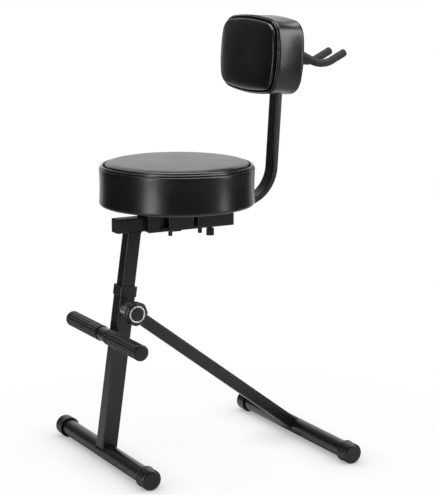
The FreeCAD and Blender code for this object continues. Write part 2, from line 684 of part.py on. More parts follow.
def tube_plug(width, depth, wall):
    """A push-in plug for a tube's end, drawn along Z with its face at zero."""
    face = bar(width - 2 * PLUG_INSET, depth - 2 * PLUG_INSET, TUBE_CORNER, PLUG_FACE, -PLUG_FACE)
    inner_wide = width - 2 * wall - 2 * SEATED
    inner_deep = depth - 2 * wall - 2 * SEATED
    shank = bar(inner_wide, inner_deep, TUBE_CORNER - wall, PLUG_SHANK)
    return joined(face, [shank])


def beam_front_plug():
    return level(tube_plug(BEAM, BEAM, BEAM_WALL), BEAM_FRONT, BEAM_HEIGHT)


def beam_rear_plug():
    plug = tube_plug(BEAM, BEAM, BEAM_WALL)
    plug.rotate(point(0, 0, 0), X_AXIS, 180)
    return level(plug, BEAM_REAR, BEAM_HEIGHT)


# Seat bracket

def seat_channel():
    """Folded steel channel under the seat, open below, with windows in its sides."""
    half = CHANNEL_WIDTH / 2
    inside = half - CHANNEL_WALL
    length = (CHANNEL_FRONT, CHANNEL_REAR)
    outer = block((-half, half), length, (CHANNEL_BOTTOM, SEAT_BOTTOM))
    top_edges = [e for e in outer.Edges if abs(e.CenterOfMass.z - SEAT_BOTTOM) < SEATED]
    folds = [e for e in top_edges if abs(e.CenterOfMass.x) > inside]
    outer = outer.makeFillet(CHANNEL_BEND, folds)
    cuts = [block((-inside, inside), length, (CHANNEL_BOTTOM, WEB_LOW))]
    high = (CHANNEL_BOTTOM + WINDOW_RISE, SEAT_BOTTOM - WINDOW_DROP)
    for window in ((FRONT_WINDOW_START, FRONT_WINDOW_END), (REAR_WINDOW_START, REAR_WINDOW_END)):
        cuts.append(block((-half, half), window, high))
    cuts += seat_bolt_rods(SEAT_BOLT_RADIUS + SEATED)
    return outer.cut(cuts)


def beam_bore(front, rear):
    half = BEAM / 2 + SLIDE
    return block((-half, half), (front, rear), (BEAM_LOW - SLIDE, BEAM_HIGH + SLIDE))


def guide_block(front, rear):
    half = CHANNEL_WIDTH / 2 - CHANNEL_WALL - SEATED
    return block((-half, half), (front, rear), (CHANNEL_BOTTOM + GUIDE_RISE, WEB_LOW))


def front_guide():
    """Nylon block that the beam slides in, at the bracket's front."""
    guide = guide_block(CHANNEL_FRONT, FRONT_GUIDE_REAR)
    return guide.cut(beam_bore(CHANNEL_FRONT, FRONT_GUIDE_REAR))


def rear_guide():
    """Nylon block with a pocket for the beam's end and a flat way for the backrest tube."""
    half = FLAT_WIDTH / 2 + SLIDE
    flat_way = block((-half, half), (REAR_GUIDE_FRONT, CHANNEL_REAR), (FLAT_LOW - SLIDE, WEB_LOW))
    pocket = beam_bore(REAR_GUIDE_FRONT, POCKET_END)
    beam_hole = screw_hole(REAR_SCREW_REACH, THUMB_SCREW_RADIUS, BEAM_LOW)
    back_hole = screw_hole(BACK_SCREW_REACH, BACK_SCREW_RADIUS, FLAT_LOW)
    return guide_block(REAR_GUIDE_FRONT, CHANNEL_REAR).cut([pocket, flat_way, beam_hole, back_hole])


def screw_hole(reach, radius, top):
    start = point(0, reach, CHANNEL_BOTTOM - BRIDGE_LIP)
    return rod(start, Z_AXIS, radius + RUNNING, top - start.z)


def clamp_bridge():
    """Steel strap across the channel's lower edges that carries the front hand screw."""
    half = CHANNEL_WIDTH / 2
    span = (FRONT_SCREW_REACH - BRIDGE_LENGTH / 2, FRONT_SCREW_REACH + BRIDGE_LENGTH / 2)
    inside = half - CHANNEL_WALL - SEATED
    strap = block((-inside, inside), span, (CHANNEL_BOTTOM - BRIDGE_LIP, BEAM_LOW - SLIDE))
    lips = block((-half, half), span, (CHANNEL_BOTTOM - BRIDGE_LIP, CHANNEL_BOTTOM))
    hole = screw_hole(FRONT_SCREW_REACH, THUMB_SCREW_RADIUS, BEAM_LOW)
    return joined(strap, [lips]).cut(hole)


def thumb_screw(reach):
    """A small hand screw from below, whose tip bears on the beam."""
    tip = BEAM_LOW - SLIDE
    neck = CHANNEL_BOTTOM - BRIDGE_LIP - THUMB_NECK
    screw = rod(point(0, reach, neck), Z_AXIS, THUMB_SCREW_RADIUS, tip - neck)
    start = point(0, reach, neck)
    head = rod(start, Z_AXIS * -1, THUMB_HEAD_RADIUS, THUMB_HEAD_LENGTH)
    head = fluted(
        head, start, Z_AXIS * -1, THUMB_HEAD_RADIUS, THUMB_HEAD_LENGTH, THUMB_FLUTES, THUMB_FLUTE_RADIUS
    )
    return joined(screw, [head])


def backrest_lock_screw():
    """Steel screw that bears on the backrest tube."""
    start = point(0, BACK_SCREW_REACH, BACK_SCREW_LOW)
    return rod(start, Z_AXIS, BACK_SCREW_RADIUS, FLAT_LOW - SLIDE - BACK_SCREW_LOW)


def backrest_lock_knob():
    top = point(0, BACK_SCREW_REACH, BACK_KNOB_TOP)
    down = Z_AXIS * -1
    neck = rod(top, down, BACK_KNOB_NECK_RADIUS, BACK_KNOB_NECK)
    start = top + down * BACK_KNOB_NECK
    grip = rod(start, down, BACK_KNOB_RADIUS, BACK_KNOB_LENGTH)
    grip = fluted(
        grip, start, down, BACK_KNOB_RADIUS, BACK_KNOB_LENGTH, BACK_KNOB_FLUTES, BACK_KNOB_FLUTE_RADIUS
    )
    socket = rod(top, down, BACK_SCREW_RADIUS + SEATED, BACK_KNOB_NECK + BACK_KNOB_SOCKET)
    return joined(neck, [grip]).cut(socket)


# Seat

def seat_bolt_places():
    places = []
    for reach in SEAT_BOLT_ROWS:
        for side in (-1, 1):
            places.append((side * SEAT_BOLT_SIDE, reach))
    return places


def seat_bolt_rods(radius):
    long = CHANNEL_WALL + SEAT_BOLT_BITE
    return [rod(point(x, y, WEB_LOW), Z_AXIS, radius, long) for x, y in seat_bolt_places()]


def seat_bolts():
    bolts = []
    for x, y in seat_bolt_places():
        head = rod(point(x, y, WEB_LOW - SEAT_BOLT_HEAD), Z_AXIS, SEAT_BOLT_HEAD_RADIUS, SEAT_BOLT_HEAD)
        shank = rod(point(x, y, WEB_LOW), Z_AXIS, SEAT_BOLT_RADIUS, CHANNEL_WALL + SEAT_BOLT_BITE)
        bolts.append(joined(head, [shank]))
    return Part.makeCompound(bolts)


def seat_board():
    board = rod(point(0, SEAT_REACH, SEAT_BOTTOM), Z_AXIS, BOARD_RADIUS, BOARD_THICK)
    return board.cut(seat_bolt_rods(SEAT_BOLT_RADIUS + SEATED))


def seat_cushion():
    """Round cushion: crowned top panel, sewn groove, rolled rim and a band drawn in below."""
    board_top = BOARD_THICK + SOFT_GAP
    inside = BOARD_RADIUS + SOFT_GAP
    high = SEAT_THICK
    rim_middle = SEAT_RADIUS - RIM_RADIUS
    rim_low = high - RIM_RADIUS
    groove = rim_middle - RIM_RADIUS
    slant = math.sqrt(0.5)
    waist = SEAT_RADIUS - SEAT_WAIST
    edge_middle = SEAT_RADIUS - SEAT_EDGE
    panel = groove - GROOVE_DEPTH

    def arc(first, middle, last):
        return Part.Arc(*[point(r, 0, z) for r, z in (first, middle, last)]).toShape()

    def line(first, last):
        return Part.makeLine(point(first[0], 0, first[1]), point(last[0], 0, last[1]))

    panel_high = high + SEAT_PANEL_RISE
    top = (0, panel_high + SEAT_CROWN)
    panel_edge = (panel, panel_high)
    panel_side = (groove, panel_high - GROOVE_DEPTH)
    edge_round = (panel + GROOVE_DEPTH * slant, panel_high - GROOVE_DEPTH * (1 - slant))
    dome = (panel ** 2 + SEAT_CROWN ** 2) / (2 * SEAT_CROWN)
    half_way = (panel / 2, panel_high + SEAT_CROWN - dome + math.sqrt(dome ** 2 - panel ** 2 / 4))
    groove_low = (groove, high - GROOVE_DEPTH)
    rim_top = (rim_middle, high)
    rim_side = (SEAT_RADIUS, rim_low)
    band_low = (SEAT_RADIUS, SEAT_EDGE)
    under = (edge_middle, 0)
    outline = [
        line((0, board_top), top),
        arc(top, half_way, panel_edge),
        arc(panel_edge, edge_round, panel_side),
        line(panel_side, groove_low),
        arc(groove_low, (rim_middle - RIM_RADIUS * slant, rim_low + RIM_RADIUS * slant), rim_top),
        arc(rim_top, (rim_middle + RIM_RADIUS * slant, rim_low + RIM_RADIUS * slant), rim_side),
        arc(rim_side, (waist, (rim_low + SEAT_EDGE) / 2), band_low),
        arc(band_low, (edge_middle + SEAT_EDGE * slant, SEAT_EDGE * (1 - slant)), under),
        line(under, (inside, 0)),
        line((inside, 0), (inside, board_top)),
        line((inside, board_top), (0, board_top)),
    ]
    cushion = Part.Face(Part.Wire(outline)).revolve(point(0, 0, 0), Z_AXIS, 360)
    cushion.translate(point(0, SEAT_REACH, SEAT_BOTTOM))
    return cushion


# Backrest tube

def flat_section():
    outside = rounded_face(FLAT_WIDTH, FLAT_DEPTH, TUBE_CORNER)
    hollow = rounded_face(FLAT_WIDTH - 2 * FLAT_WALL, FLAT_DEPTH - 2 * FLAT_WALL, TUBE_CORNER - FLAT_WALL)
    return outside.cut(hollow)


def backrest_tube():
    """One bent tube: a level run into the bracket, a bend, and a leaning upright."""
    run = level(flat_section(), FLAT_FRONT, FLAT_MIDDLE).extrude(Y_AXIS * (BEND_REACH - FLAT_FRONT))
    start = level(flat_section(), BEND_REACH, FLAT_MIDDLE)
    centre = point(0, BEND_REACH, FLAT_MIDDLE + BEND_RADIUS)
    bend = start.revolve(centre, X_AXIS, 90 - BACK_LEAN)
    upright = on_back(flat_section().extrude(Z_AXIS * UPRIGHT))
    holes = [on_back(hole) for hole in back_bolt_rods(BACK_BOLT_RADIUS + SEATED)]
    holes += [on_back(hole) for hole in hanger_bolt_rods(HANGER_BOLT_RADIUS + SEATED)]
    return joined(run, [bend, upright]).cut(holes)


def backrest_front_plug():
    plug = tube_plug(FLAT_WIDTH, FLAT_DEPTH, FLAT_WALL)
    return level(plug, FLAT_FRONT, FLAT_MIDDLE)


def backrest_top_plug():
    plug = tube_plug(FLAT_WIDTH, FLAT_DEPTH, FLAT_WALL)
    plug.rotate(point(0, 0, 0), X_AXIS, 180)
    plug.translate(Z_AXIS * UPRIGHT)
    return on_back(plug)


# Backrest pad

def bowed_outline(inset, depth):
    """The pad's outline of eight tangent arcs, drawn in by an inset, at a depth before the tube."""
    wide = PAD_WIDTH / 2 - inset
    high = PAD_HEIGHT / 2 - inset
    side = PAD_SIDE_BOW - inset
    end = PAD_END_BOW - inset
    corner = PAD_CORNER - inset
    # Centre of the corner arc, which touches both bowed edges from inside.
    x_a, z_a, r_a = 0.0, high - end, end - corner
    x_b, z_b, r_b = wide - side, 0.0, side - corner
    span = math.hypot(x_b - x_a, z_b - z_a)
    along = (r_a ** 2 - r_b ** 2 + span ** 2) / (2 * span)
    across = math.sqrt(r_a ** 2 - along ** 2)
    ux, uz = (x_b - x_a) / span, (z_b - z_a) / span
    x_c = x_a + along * ux + across * uz
    z_c = z_a + along * uz - across * ux
    end_turn = math.atan2(z_c - z_a, x_c - x_a)
    side_turn = math.atan2(z_c - z_b, x_c - x_b)
    y = PAD_BACK - depth

    def spot(x, z):
        return point(x, y, PAD_ALONG + z)

    def corner_spot(angle, sx, sz):
        return spot(sx * (x_c + corner * math.cos(angle)), sz * (z_c + corner * math.sin(angle)))

    middle_turn = (end_turn + side_turn) / 2
    edges = []
    quarters = ((1, 1), (1, -1), (-1, -1), (-1, 1))
    for number, (sx, sz) in enumerate(quarters):
        turns = (end_turn, middle_turn, side_turn)
        if number % 2 == 1:
            turns = turns[::-1]
        edges.append([corner_spot(turn, sx, sz) for turn in turns])
    middles = (spot(wide, 0), spot(0, -high), spot(-wide, 0), spot(0, high))
    outline = []
    for number, turn in enumerate(edges):
        following = edges[(number + 1) % len(edges)]
        outline.append(Part.Arc(*turn).toShape())
        outline.append(Part.Arc(turn[2], middles[number], following[0]).toShape())
    return Part.Wire(outline)


def pad_panel():
    """Crowned front panel, with an eased edge in the sewn groove."""
    base = PAD_THICK - PAD_GROOVE_DEPTH
    outline = Part.Face(bowed_outline(PAD_GROOVE_INSET + PAD_PANEL_GAP, base))
    high = PAD_PANEL_RISE + PAD_CROWN
    panel = outline.extrude(Y_AXIS * -(PAD_GROOVE_DEPTH + high))
    reach = math.hypot(PAD_WIDTH, PAD_HEIGHT) / 2 - PAD_CORNER
    dome = (reach ** 2 + PAD_CROWN ** 2) / (2 * PAD_CROWN)
    middle = point(0, PAD_BACK - PAD_THICK - high + dome, PAD_ALONG)
    panel = panel.common(Part.makeSphere(dome, middle))
    front = [face for face in panel.Faces if isinstance(face.Surface, Part.Sphere)][0]
    return panel.makeFillet(PAD_PANEL_EDGE, front.Edges)


def backrest_pad():
    """Boxed pad: a band between a back edge and a rolled front rim, and the front panel."""
    sections = [
        (PAD_BACK_INSET, 0),
        (PAD_BACK_EASE, PAD_RIM),
        (0, 2 * PAD_RIM),
        (PAD_WAIST, PAD_THICK / 2),
        (0, PAD_THICK - 2 * PAD_RIM),
        (PAD_RIM_EASE, PAD_THICK - PAD_RIM / 2),
        (PAD_RIM, PAD_THICK - PAD_RIM_DROP),
        (PAD_GROOVE_INSET, PAD_THICK - PAD_GROOVE_DEPTH),
    ]
    band = Part.makeLoft([bowed_outline(*section) for section in sections], True)
    recess = Part.Face(bowed_outline(BACK_BOARD_INSET - SOFT_GAP, 0))
    recess = recess.extrude(Y_AXIS * -(BACK_BOARD_THICK + SOFT_GAP))
    return on_back(joined(band, [pad_panel()]).cut(recess))


def back_bolt_rods(radius):
    """Shanks of the pad's bolts, from behind the tube into the board."""
    rods = []
    for side in (-1, 1):
        start = point(0, FLAT_DEPTH / 2, PAD_ALONG + side * BACK_BOLT_OUT)
        rods.append(rod(start, Y_AXIS * -1, radius, FLAT_DEPTH + BACK_BOLT_BITE))
    return rods


def backrest_board():
    board = Part.Face(bowed_outline(BACK_BOARD_INSET, 0)).extrude(Y_AXIS * -BACK_BOARD_THICK)
    return on_back(board.cut(back_bolt_rods(BACK_BOLT_RADIUS + SEATED)))


def backrest_bolts():
    bolts = []
    for shank in back_bolt_rods(BACK_BOLT_RADIUS):
        middle = shank.CenterOfMass
        start = point(middle.x, FLAT_DEPTH / 2, middle.z)
        head = rod(start, Y_AXIS, BACK_BOLT_HEAD_RADIUS, BACK_BOLT_HEAD)
        bolts.append(on_back(joined(head, [shank])))
    return Part.makeCompound(bolts)


# Hanger

def hanger_bolt_rods(radius):
    rods = []
    for side in (-1, 1):
        height = HANGER_ALONG + side * HANGER_BOLT_SPACING / 2
        start = point(0, FLAT_DEPTH / 2 + HANGER_PLATE_THICK, height)
        rods.append(rod(start, Y_AXIS * -1, radius, HANGER_BOLT_BITE))
    return rods


def hanger_bracket():
    """Plate on the back of the upright with a boss that holds the yoke's pin."""
    back = FLAT_DEPTH / 2
    half = FLAT_WIDTH / 2
    high = (HANGER_ALONG - HANGER_PLATE_HALF, HANGER_ALONG + HANGER_PLATE_HALF)
    plate = block((-half, half), (back, back + HANGER_PLATE_THICK), high)
    middle = back + HANGER_PLATE_THICK / 2
    corners = [e for e in plate.Edges if abs(e.CenterOfMass.y - middle) < SEATED]
    plate = plate.makeFillet(HANGER_PLATE_CORNER, corners)
    start = point(0, back, HANGER_ALONG)
    boss = rod(start, Y_AXIS, BOSS_RADIUS, HANGER_PLATE_THICK + BOSS_LENGTH)
    bore = rod(start, Y_AXIS, YOKE_PIN_RADIUS + RUNNING, HANGER_PLATE_THICK + BOSS_LENGTH)
    holes = hanger_bolt_rods(HANGER_BOLT_RADIUS + SEATED)
    return on_back(joined(plate, [boss]).cut([bore] + holes))


def hanger_bolts():
    bolts = []
    for shank in hanger_bolt_rods(HANGER_BOLT_RADIUS):
        start = point(0, FLAT_DEPTH / 2 + HANGER_PLATE_THICK, shank.CenterOfMass.z)
        head = rod(start, Y_AXIS, HANGER_BOLT_HEAD_RADIUS, HANGER_BOLT_HEAD)
        bolts.append(on_back(joined(head, [shank])))
    return Part.makeCompound(bolts)


def yoke_spots(side):
    """Named spots along one arm of the yoke, from the middle of its back bend to its tip."""
    fall = math.radians(YOKE_FALL)
    rise = math.radians(YOKE_RISE)

    def spot(x, out, drop):
        return point(side * x, YOKE_BACK + out, HANGER_ALONG - drop)

    def on_bend(angle):
        turn = math.radians(angle)
        run = YOKE_HALF_GAP * (1 - math.cos(turn))
        return spot(YOKE_HALF_GAP * math.sin(turn), run * math.cos(fall), run * math.sin(fall))

    half_turn = (fall + rise) / 2
    tangent = YOKE_DIP_RADIUS * math.tan(half_turn)
    down = point(0, math.cos(fall), -math.sin(fall))
    up = point(0, math.cos(rise), math.sin(rise))
    corner = on_bend(90) + down * YOKE_ARM
    dip_start = corner - down * tangent
    dip_end = corner + up * tangent
    inward = (up - down).normalize()
    dip_low = corner + inward * (YOKE_DIP_RADIUS * (1 / math.cos(half_turn) - 1))
    return {
        "on_bend": on_bend,
        "arm": on_bend(90),
        "dip_start": dip_start,
        "dip_low": dip_low,
        "dip_end": dip_end,
        "tip": corner + up * YOKE_TIP,
        "up": up,
    }


def arm_path(side, start_angle, stop_short=0.0):
    """Edges of one arm's centre line, from an angle on the back bend towards the tip."""
    spots = yoke_spots(side)
    on_bend = spots["on_bend"]
    end = spots["tip"] - spots["up"] * stop_short
    return [
        Part.Arc(on_bend(start_angle), on_bend((start_angle + 90) / 2), spots["arm"]).toShape(),
        Part.makeLine(spots["arm"], spots["dip_start"]),
        Part.Arc(spots["dip_start"], spots["dip_low"], spots["dip_end"]).toShape(),
        Part.makeLine(spots["dip_end"], end),
    ]


def piped(edges, radius):
    """A round bar along tangent edges."""
    path = Part.Wire(edges)
    first = edges[0]
    start = first.valueAt(first.FirstParameter)
    heading = first.tangentAt(first.FirstParameter)
    ring = Part.Wire(Part.makeCircle(radius, start, heading))
    return path.makePipeShell([ring], True, False)


def yoke_rod():
    """Steel yoke: two dipped arms on a hub, and the pin that turns in the bracket."""
    arms = [piped(arm_path(side, 0, FOAM_END), YOKE_ROD_RADIUS) for side in (1, -1)]
    face = BOSS_BACK + SOFT_GAP
    hub = rod(point(0, face, HANGER_ALONG), Y_AXIS, YOKE_HUB_RADIUS, YOKE_HUB_LENGTH)
    pin_start = point(0, FLAT_DEPTH / 2 + SOFT_GAP, HANGER_ALONG)
    pin = rod(pin_start, Y_AXIS, YOKE_PIN_RADIUS, face - pin_start.y)
    return on_back(joined(hub, [pin] + arms))


def yoke_foam(side):
    """Foam sleeve over one arm, closed round the rod's tip."""
    sleeve = piped(arm_path(side, FOAM_START), FOAM_RADIUS)
    tip = yoke_spots(side)["tip"]
    round_edges = [e for e in sleeve.Edges if e.Closed and (e.CenterOfMass - tip).Length < FOAM_END]
    sleeve = sleeve.makeFillet(FOAM_END, round_edges)
    bore = piped(arm_path(side, FOAM_START, FOAM_END), YOKE_ROD_RADIUS + SEATED)
    return on_back(sleeve.cut(bore))


def pieces():
    """Every piece by its name."""
    return {
        "front_foot_tube": foot_tube(0, 0, FRONT_FOOT_LENGTH),
        "front_cap_left": foot_cap(0, 0, FRONT_FOOT_LENGTH, -1),
        "front_cap_right": foot_cap(0, 0, FRONT_FOOT_LENGTH, 1),
        "rear_foot_tube": foot_tube(STRUT_X, REAR_FOOT_REACH, REAR_FOOT_LENGTH),
        "rear_cap_left": foot_cap(STRUT_X, REAR_FOOT_REACH, REAR_FOOT_LENGTH, -1),
        "rear_cap_right": foot_cap(STRUT_X, REAR_FOOT_REACH, REAR_FOOT_LENGTH, 1),
        "lower_leg_tube": lower_leg_tube(),
        "leg_collar": leg_collar(),
        "upper_leg_tube": upper_leg_tube(),
        "upper_leg_glide": upper_leg_glide(),
        "height_nut": height_nut(),
        "height_screw": height_screw(),
        "height_knob": height_knob(),
        "clutch_inner": clutch_inner(),
        "clutch_washer": clutch_washer(),
        "clutch_outer": clutch_outer(),
        "pivot_stud": pivot_stud(),
        "strut_tube": strut_tube(),
        "knob_washer": knob_washer(),
        "knob_body": knob_body(),
        "knob_insert": knob_insert(),
        "knob_ring": knob_ring(),
        "knob_cap": knob_cap(),
        "footrest_bar": footrest_bar(),
        "footrest_weld": footrest_weld(),
        "footrest_grip_left": footrest_grip(-1),
        "footrest_grip_right": footrest_grip(1),
        "seat_beam": seat_beam(),
        "beam_front_plug": beam_front_plug(),
        "beam_rear_plug": beam_rear_plug(),
        "seat_channel": seat_channel(),
        "front_guide": front_guide(),
        "rear_guide": rear_guide(),
        "clamp_bridge": clamp_bridge(),
        "front_lock_screw": thumb_screw(FRONT_SCREW_REACH),
        "rear_lock_screw": thumb_screw(REAR_SCREW_REACH),
        "backrest_lock_screw": backrest_lock_screw(),
        "backrest_lock_knob": backrest_lock_knob(),
        "seat_bolts": seat_bolts(),
        "seat_board": seat_board(),
        "seat_cushion": seat_cushion(),
        "backrest_tube": backrest_tube(),
        "backrest_front_plug": backrest_front_plug(),
        "backrest_top_plug": backrest_top_plug(),
        "backrest_pad": backrest_pad(),
        "backrest_board": backrest_board(),
        "backrest_bolts": backrest_bolts(),
        "hanger_bracket": hanger_bracket(),
        "hanger_bolts": hanger_bolts(),
        "yoke_rod": yoke_rod(),
        "yoke_foam_left": yoke_foam(-1),
        "yoke_foam_right": yoke_foam(1),
    }


def origin_shift(made):
    """The move that brings the middle of the stool's floor plan to the origin."""
    deepest = made["yoke_foam_right"].BoundBox.YMax
    right = STRUT_X + REAR_FOOT_LENGTH / 2
    left = max(FRONT_FOOT_LENGTH / 2, REAR_FOOT_LENGTH / 2 - STRUT_X)
    return point((left - right) / 2, (CAP_RADIUS - deepest) / 2, 0)


def main():
    os.makedirs("parts", exist_ok=True)
    made = pieces()
    shift = origin_shift(made)
    for name, shape in made.items():
        shape.translate(shift)
        shape.exportStep("parts/" + name + ".step")
        print(name, "solids", len(shape.Solids), "valid", shape.isValid(), "volume", round(shape.Volume))


main()
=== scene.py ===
"""Looks of a folding performer's stool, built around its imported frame.

Every piece is in metres in the frame's own axes: +Z is up, the sitter faces -Y, and +X is the side of
the folding strut and its clutch knob.
"""

import json
import logging
import math
from dataclasses import dataclass
from enum import Enum

import bmesh
import bpy
import numpy as np
from mathutils import Matrix, Vector


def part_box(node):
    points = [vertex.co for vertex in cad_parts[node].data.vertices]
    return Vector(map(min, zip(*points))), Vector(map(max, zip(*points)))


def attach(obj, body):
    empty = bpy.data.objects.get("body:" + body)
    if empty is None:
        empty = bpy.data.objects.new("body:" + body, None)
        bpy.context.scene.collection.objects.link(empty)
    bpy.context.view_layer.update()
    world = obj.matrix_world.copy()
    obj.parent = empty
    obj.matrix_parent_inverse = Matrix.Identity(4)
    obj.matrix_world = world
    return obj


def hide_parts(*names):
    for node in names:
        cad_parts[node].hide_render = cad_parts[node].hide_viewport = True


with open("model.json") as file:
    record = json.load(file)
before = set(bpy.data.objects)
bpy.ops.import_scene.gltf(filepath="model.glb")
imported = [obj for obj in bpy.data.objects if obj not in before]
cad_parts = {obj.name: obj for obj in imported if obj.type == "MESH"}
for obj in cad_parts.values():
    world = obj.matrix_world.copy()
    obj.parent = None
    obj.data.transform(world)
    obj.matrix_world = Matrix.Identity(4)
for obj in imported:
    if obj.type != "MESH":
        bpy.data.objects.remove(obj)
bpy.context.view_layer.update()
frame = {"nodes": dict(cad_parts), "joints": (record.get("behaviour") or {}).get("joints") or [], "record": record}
LOG = logging.getLogger("stool")
SEED = 11
FULL_TURN = 2.0 * math.pi
HALF_TURN = math.pi
ALONG_X = Vector((1, 0, 0))
UP = Vector((0, 0, 1))
WHITE = (1.0, 1.0, 1.0, 1.0)
CLOSED_TIP = 0.0004   # radius of the small face that closes a turned piece
SLIP = 0.0001         # play between a seat and the piece in it

# Shader noise
FINE_CLOUD = 7.3            # how much finer the second cloud of a mottle is
FINE_SHARE = 0.45           # weight of the second cloud
CLOUD_SPAN = (0.5, 0.95)    # noise values that become 0 and 1
DUST_SLOPE = (0.35, 1.0)    # upward normals on which dust starts and lies full
DUST_SPAN = (0.42, 0.75)    # noise values that become 0 and 1
DUST_FINER = 3.0            # how much finer dust is than the mottle
DUST_ROUGHNESS = 0.5        # roughness that full dust adds
CELL_BEND = (0.0006, 0.0006, 0.0006)   # metres by which noise shifts the cells
CELL_WALL = (0.02, 0.32)    # distances from a cell's edge that become 0 and 1

# Repeated small pieces
THREAD_SIDES = 6
RIB_SIDES = 12
RIPPLE_SEGMENTS = 10
RIPPLE_RINGS = 6
RIPPLE_SCALE = (1.0, 1.0, 0.62)
WASHER_SIDES = 32
WASHER_THICK = 0.3          # share of a bolt head's height
HEAD_LIFT = 0.6             # share of a bolt head's height

Triple = tuple[float, float, float]
Profile = list[tuple[float, float]]


class Body(Enum):
    """Moving groups of the frame that pieces ride on."""

    BASE = "base"
    STRUT = "strut"
    CLUTCH_KNOB = "clutch_knob"
    UPPER_LEG = "upper_leg"
    SEAT = "seat"
    BACKREST = "backrest"
    YOKE = "yoke"


class Slot(Enum):
    """Material slots of the frame's record."""

    FRAME = "frame_black"
    RUBBER = "rubber_black"
    FOAM = "foam_black"
    PLASTIC = "plastic_black"
    ZINC = "zinc_hub"
    RING = "bright_ring"
    STEEL = "plated_steel"
    SCREW = "black_screw"
    BRASS = "brass_insert"
    PLYWOOD = "plywood"
    VINYL = "vinyl_black"


class Grain(Enum):
    """Kinds of surface relief that a finish can carry."""

    PEEL = "orange peel of powder coat"
    PEBBLE = "embossed pebbles of vinyl"
    SPARK = "spark-eroded mould texture"
    CELLS = "open foam cells"
    CAST = "die-cast skin"
    TURNED = "fine turning lines"


class Side(Enum):
    """The two ends across the stool, as the sign of X."""

    LEFT = -1
    RIGHT = 1


# Node graphs

class Graph:
    """Adds and links nodes in one tree with short calls."""

    def __init__(self, tree: bpy.types.NodeTree) -> None:
        """Keep the tree that nodes are added to."""
        self.tree = tree

    def feed(self, socket: bpy.types.NodeSocket, value: object) -> None:
        """Link a socket to another one, or set its value.

        Args:
            socket: The input to feed.
            value: An output socket to link from, or a plain value.
        """
        if isinstance(value, bpy.types.NodeSocket):
            self.tree.links.new(value, socket)
        else:
            socket.default_value = value

    def add(self, kind: str, settings: dict[str, object] | None = None, **inputs: object) -> bpy.types.Node:
        """Add a node.

        Args:
            kind: The node's type name.
            settings: Properties of the node itself.
            inputs: Values or sockets by input name, with underscores for spaces.

        Returns:
            The new node.
        """
        node = self.tree.nodes.new(kind)
        for key, value in (settings or {}).items():
            setattr(node, key, value)
        for key, value in inputs.items():
            self.feed(node.inputs[key.replace("_", " ")], value)
        return node

    def operate(self, kind: str, operation: str, operands: tuple[object, ...]) -> bpy.types.Node:
        """Add a node that works on its inputs in order.

        Args:
            kind: The node's type name.
            operation: Blender's name of the operation.
            operands: Sockets or plain values.

        Returns:
            The new node.
        """
        node = self.add(kind, {"operation": operation})
        for socket, operand in zip(node.inputs, operands):
            self.feed(socket, operand)
        return node

    def math(self, operation: str, *operands: object) -> bpy.types.NodeSocket:
        """Output of a Math node on sockets or numbers."""
        return self.operate("ShaderNodeMath", operation, operands).outputs[0]

    def vector(self, operation: str, *operands: object) -> bpy.types.Node:
        """A Vector Math node on sockets or vectors."""
        return self.operate("ShaderNodeVectorMath", operation, operands)

    def span(
        self, value: object, low: float, high: float, to_low: float, to_high: float, ease: str = "LINEAR"
    ) -> bpy.types.NodeSocket:
        """Map a value from one clamped range to another.

        Args:
            value: The socket to map.
            low: Start of the source range.
            high: End of the source range.
            to_low: Result at the start.
            to_high: Result at the end.
            ease: Blender's name of the interpolation.

        Returns:
            The mapped value's socket.
        """
        node = self.add(
            "ShaderNodeMapRange", {"interpolation_type": ease}, Value=value, From_Min=low, From_Max=high,
            To_Min=to_low, To_Max=to_high,
        )
        return node.outputs["Result"]

    def mix(self, share: object, first: object, second: object, blend: str = "MIX") -> bpy.types.NodeSocket:
        """Mix two colours.

        Args:
            share: How much the second colour counts.
            first: First colour or socket.
            second: Second colour or socket.
            blend: Blender's name of the blend.

        Returns:
            The mixed colour's socket.
        """
        node = self.add("ShaderNodeMix", {"data_type": "RGBA", "blend_type": blend})
        for index, value in ((0, share), (6, first), (7, second)):
            self.feed(node.inputs[index], value)
        return node.outputs[2]

    def noise(self, vector: object, scale: object, detail: float, roughness: float = 0.5) -> bpy.types.Node:
        """A Noise Texture node on the given coordinates."""
        return self.add("ShaderNodeTexNoise", Vector=vector, Scale=scale, Detail=detail, Roughness=roughness)


class SurfaceGroup(Graph):
    """A shader node group that reads Vector and Scale (features per metre) and gives one value."""

    def __init__(self, name: str, result: str) -> None:
        """Start the group.

        Args:
            name: The group's name.
            result: Name of its output.
        """
        super().__init__(bpy.data.node_groups.new(name, "ShaderNodeTree"))
        sockets = self.tree.interface
        sockets.new_socket("Vector", in_out="INPUT", socket_type="NodeSocketVector")
        sockets.new_socket("Scale", in_out="INPUT", socket_type="NodeSocketFloat")
        sockets.new_socket(result, in_out="OUTPUT", socket_type="NodeSocketFloat")
        inlet = self.add("NodeGroupInput").outputs
        self.place = inlet["Vector"]
        self.scale = inlet["Scale"]
        self.outlet = self.add("NodeGroupOutput").inputs[result]

    def times_scale(self, factor: float) -> bpy.types.NodeSocket:
        """The group's scale times a factor."""
        return self.math("MULTIPLY", self.scale, factor)


def mottle_group() -> bpy.types.NodeTree:
    """Slow cloudy change over a surface, as a mask from 0 to 1.

    Returns:
        A group with output Mask.
    """
    group = SurfaceGroup("mottle", "Mask")
    broad = group.noise(group.place, group.scale, 4.0).outputs[0]
    fine = group.noise(group.place, group.times_scale(FINE_CLOUD), 3.0).outputs[0]
    both = group.math("ADD", broad, group.math("MULTIPLY", fine, FINE_SHARE))
    group.feed(group.outlet, group.span(both, *CLOUD_SPAN, 0.0, 1.0))
    return group.tree


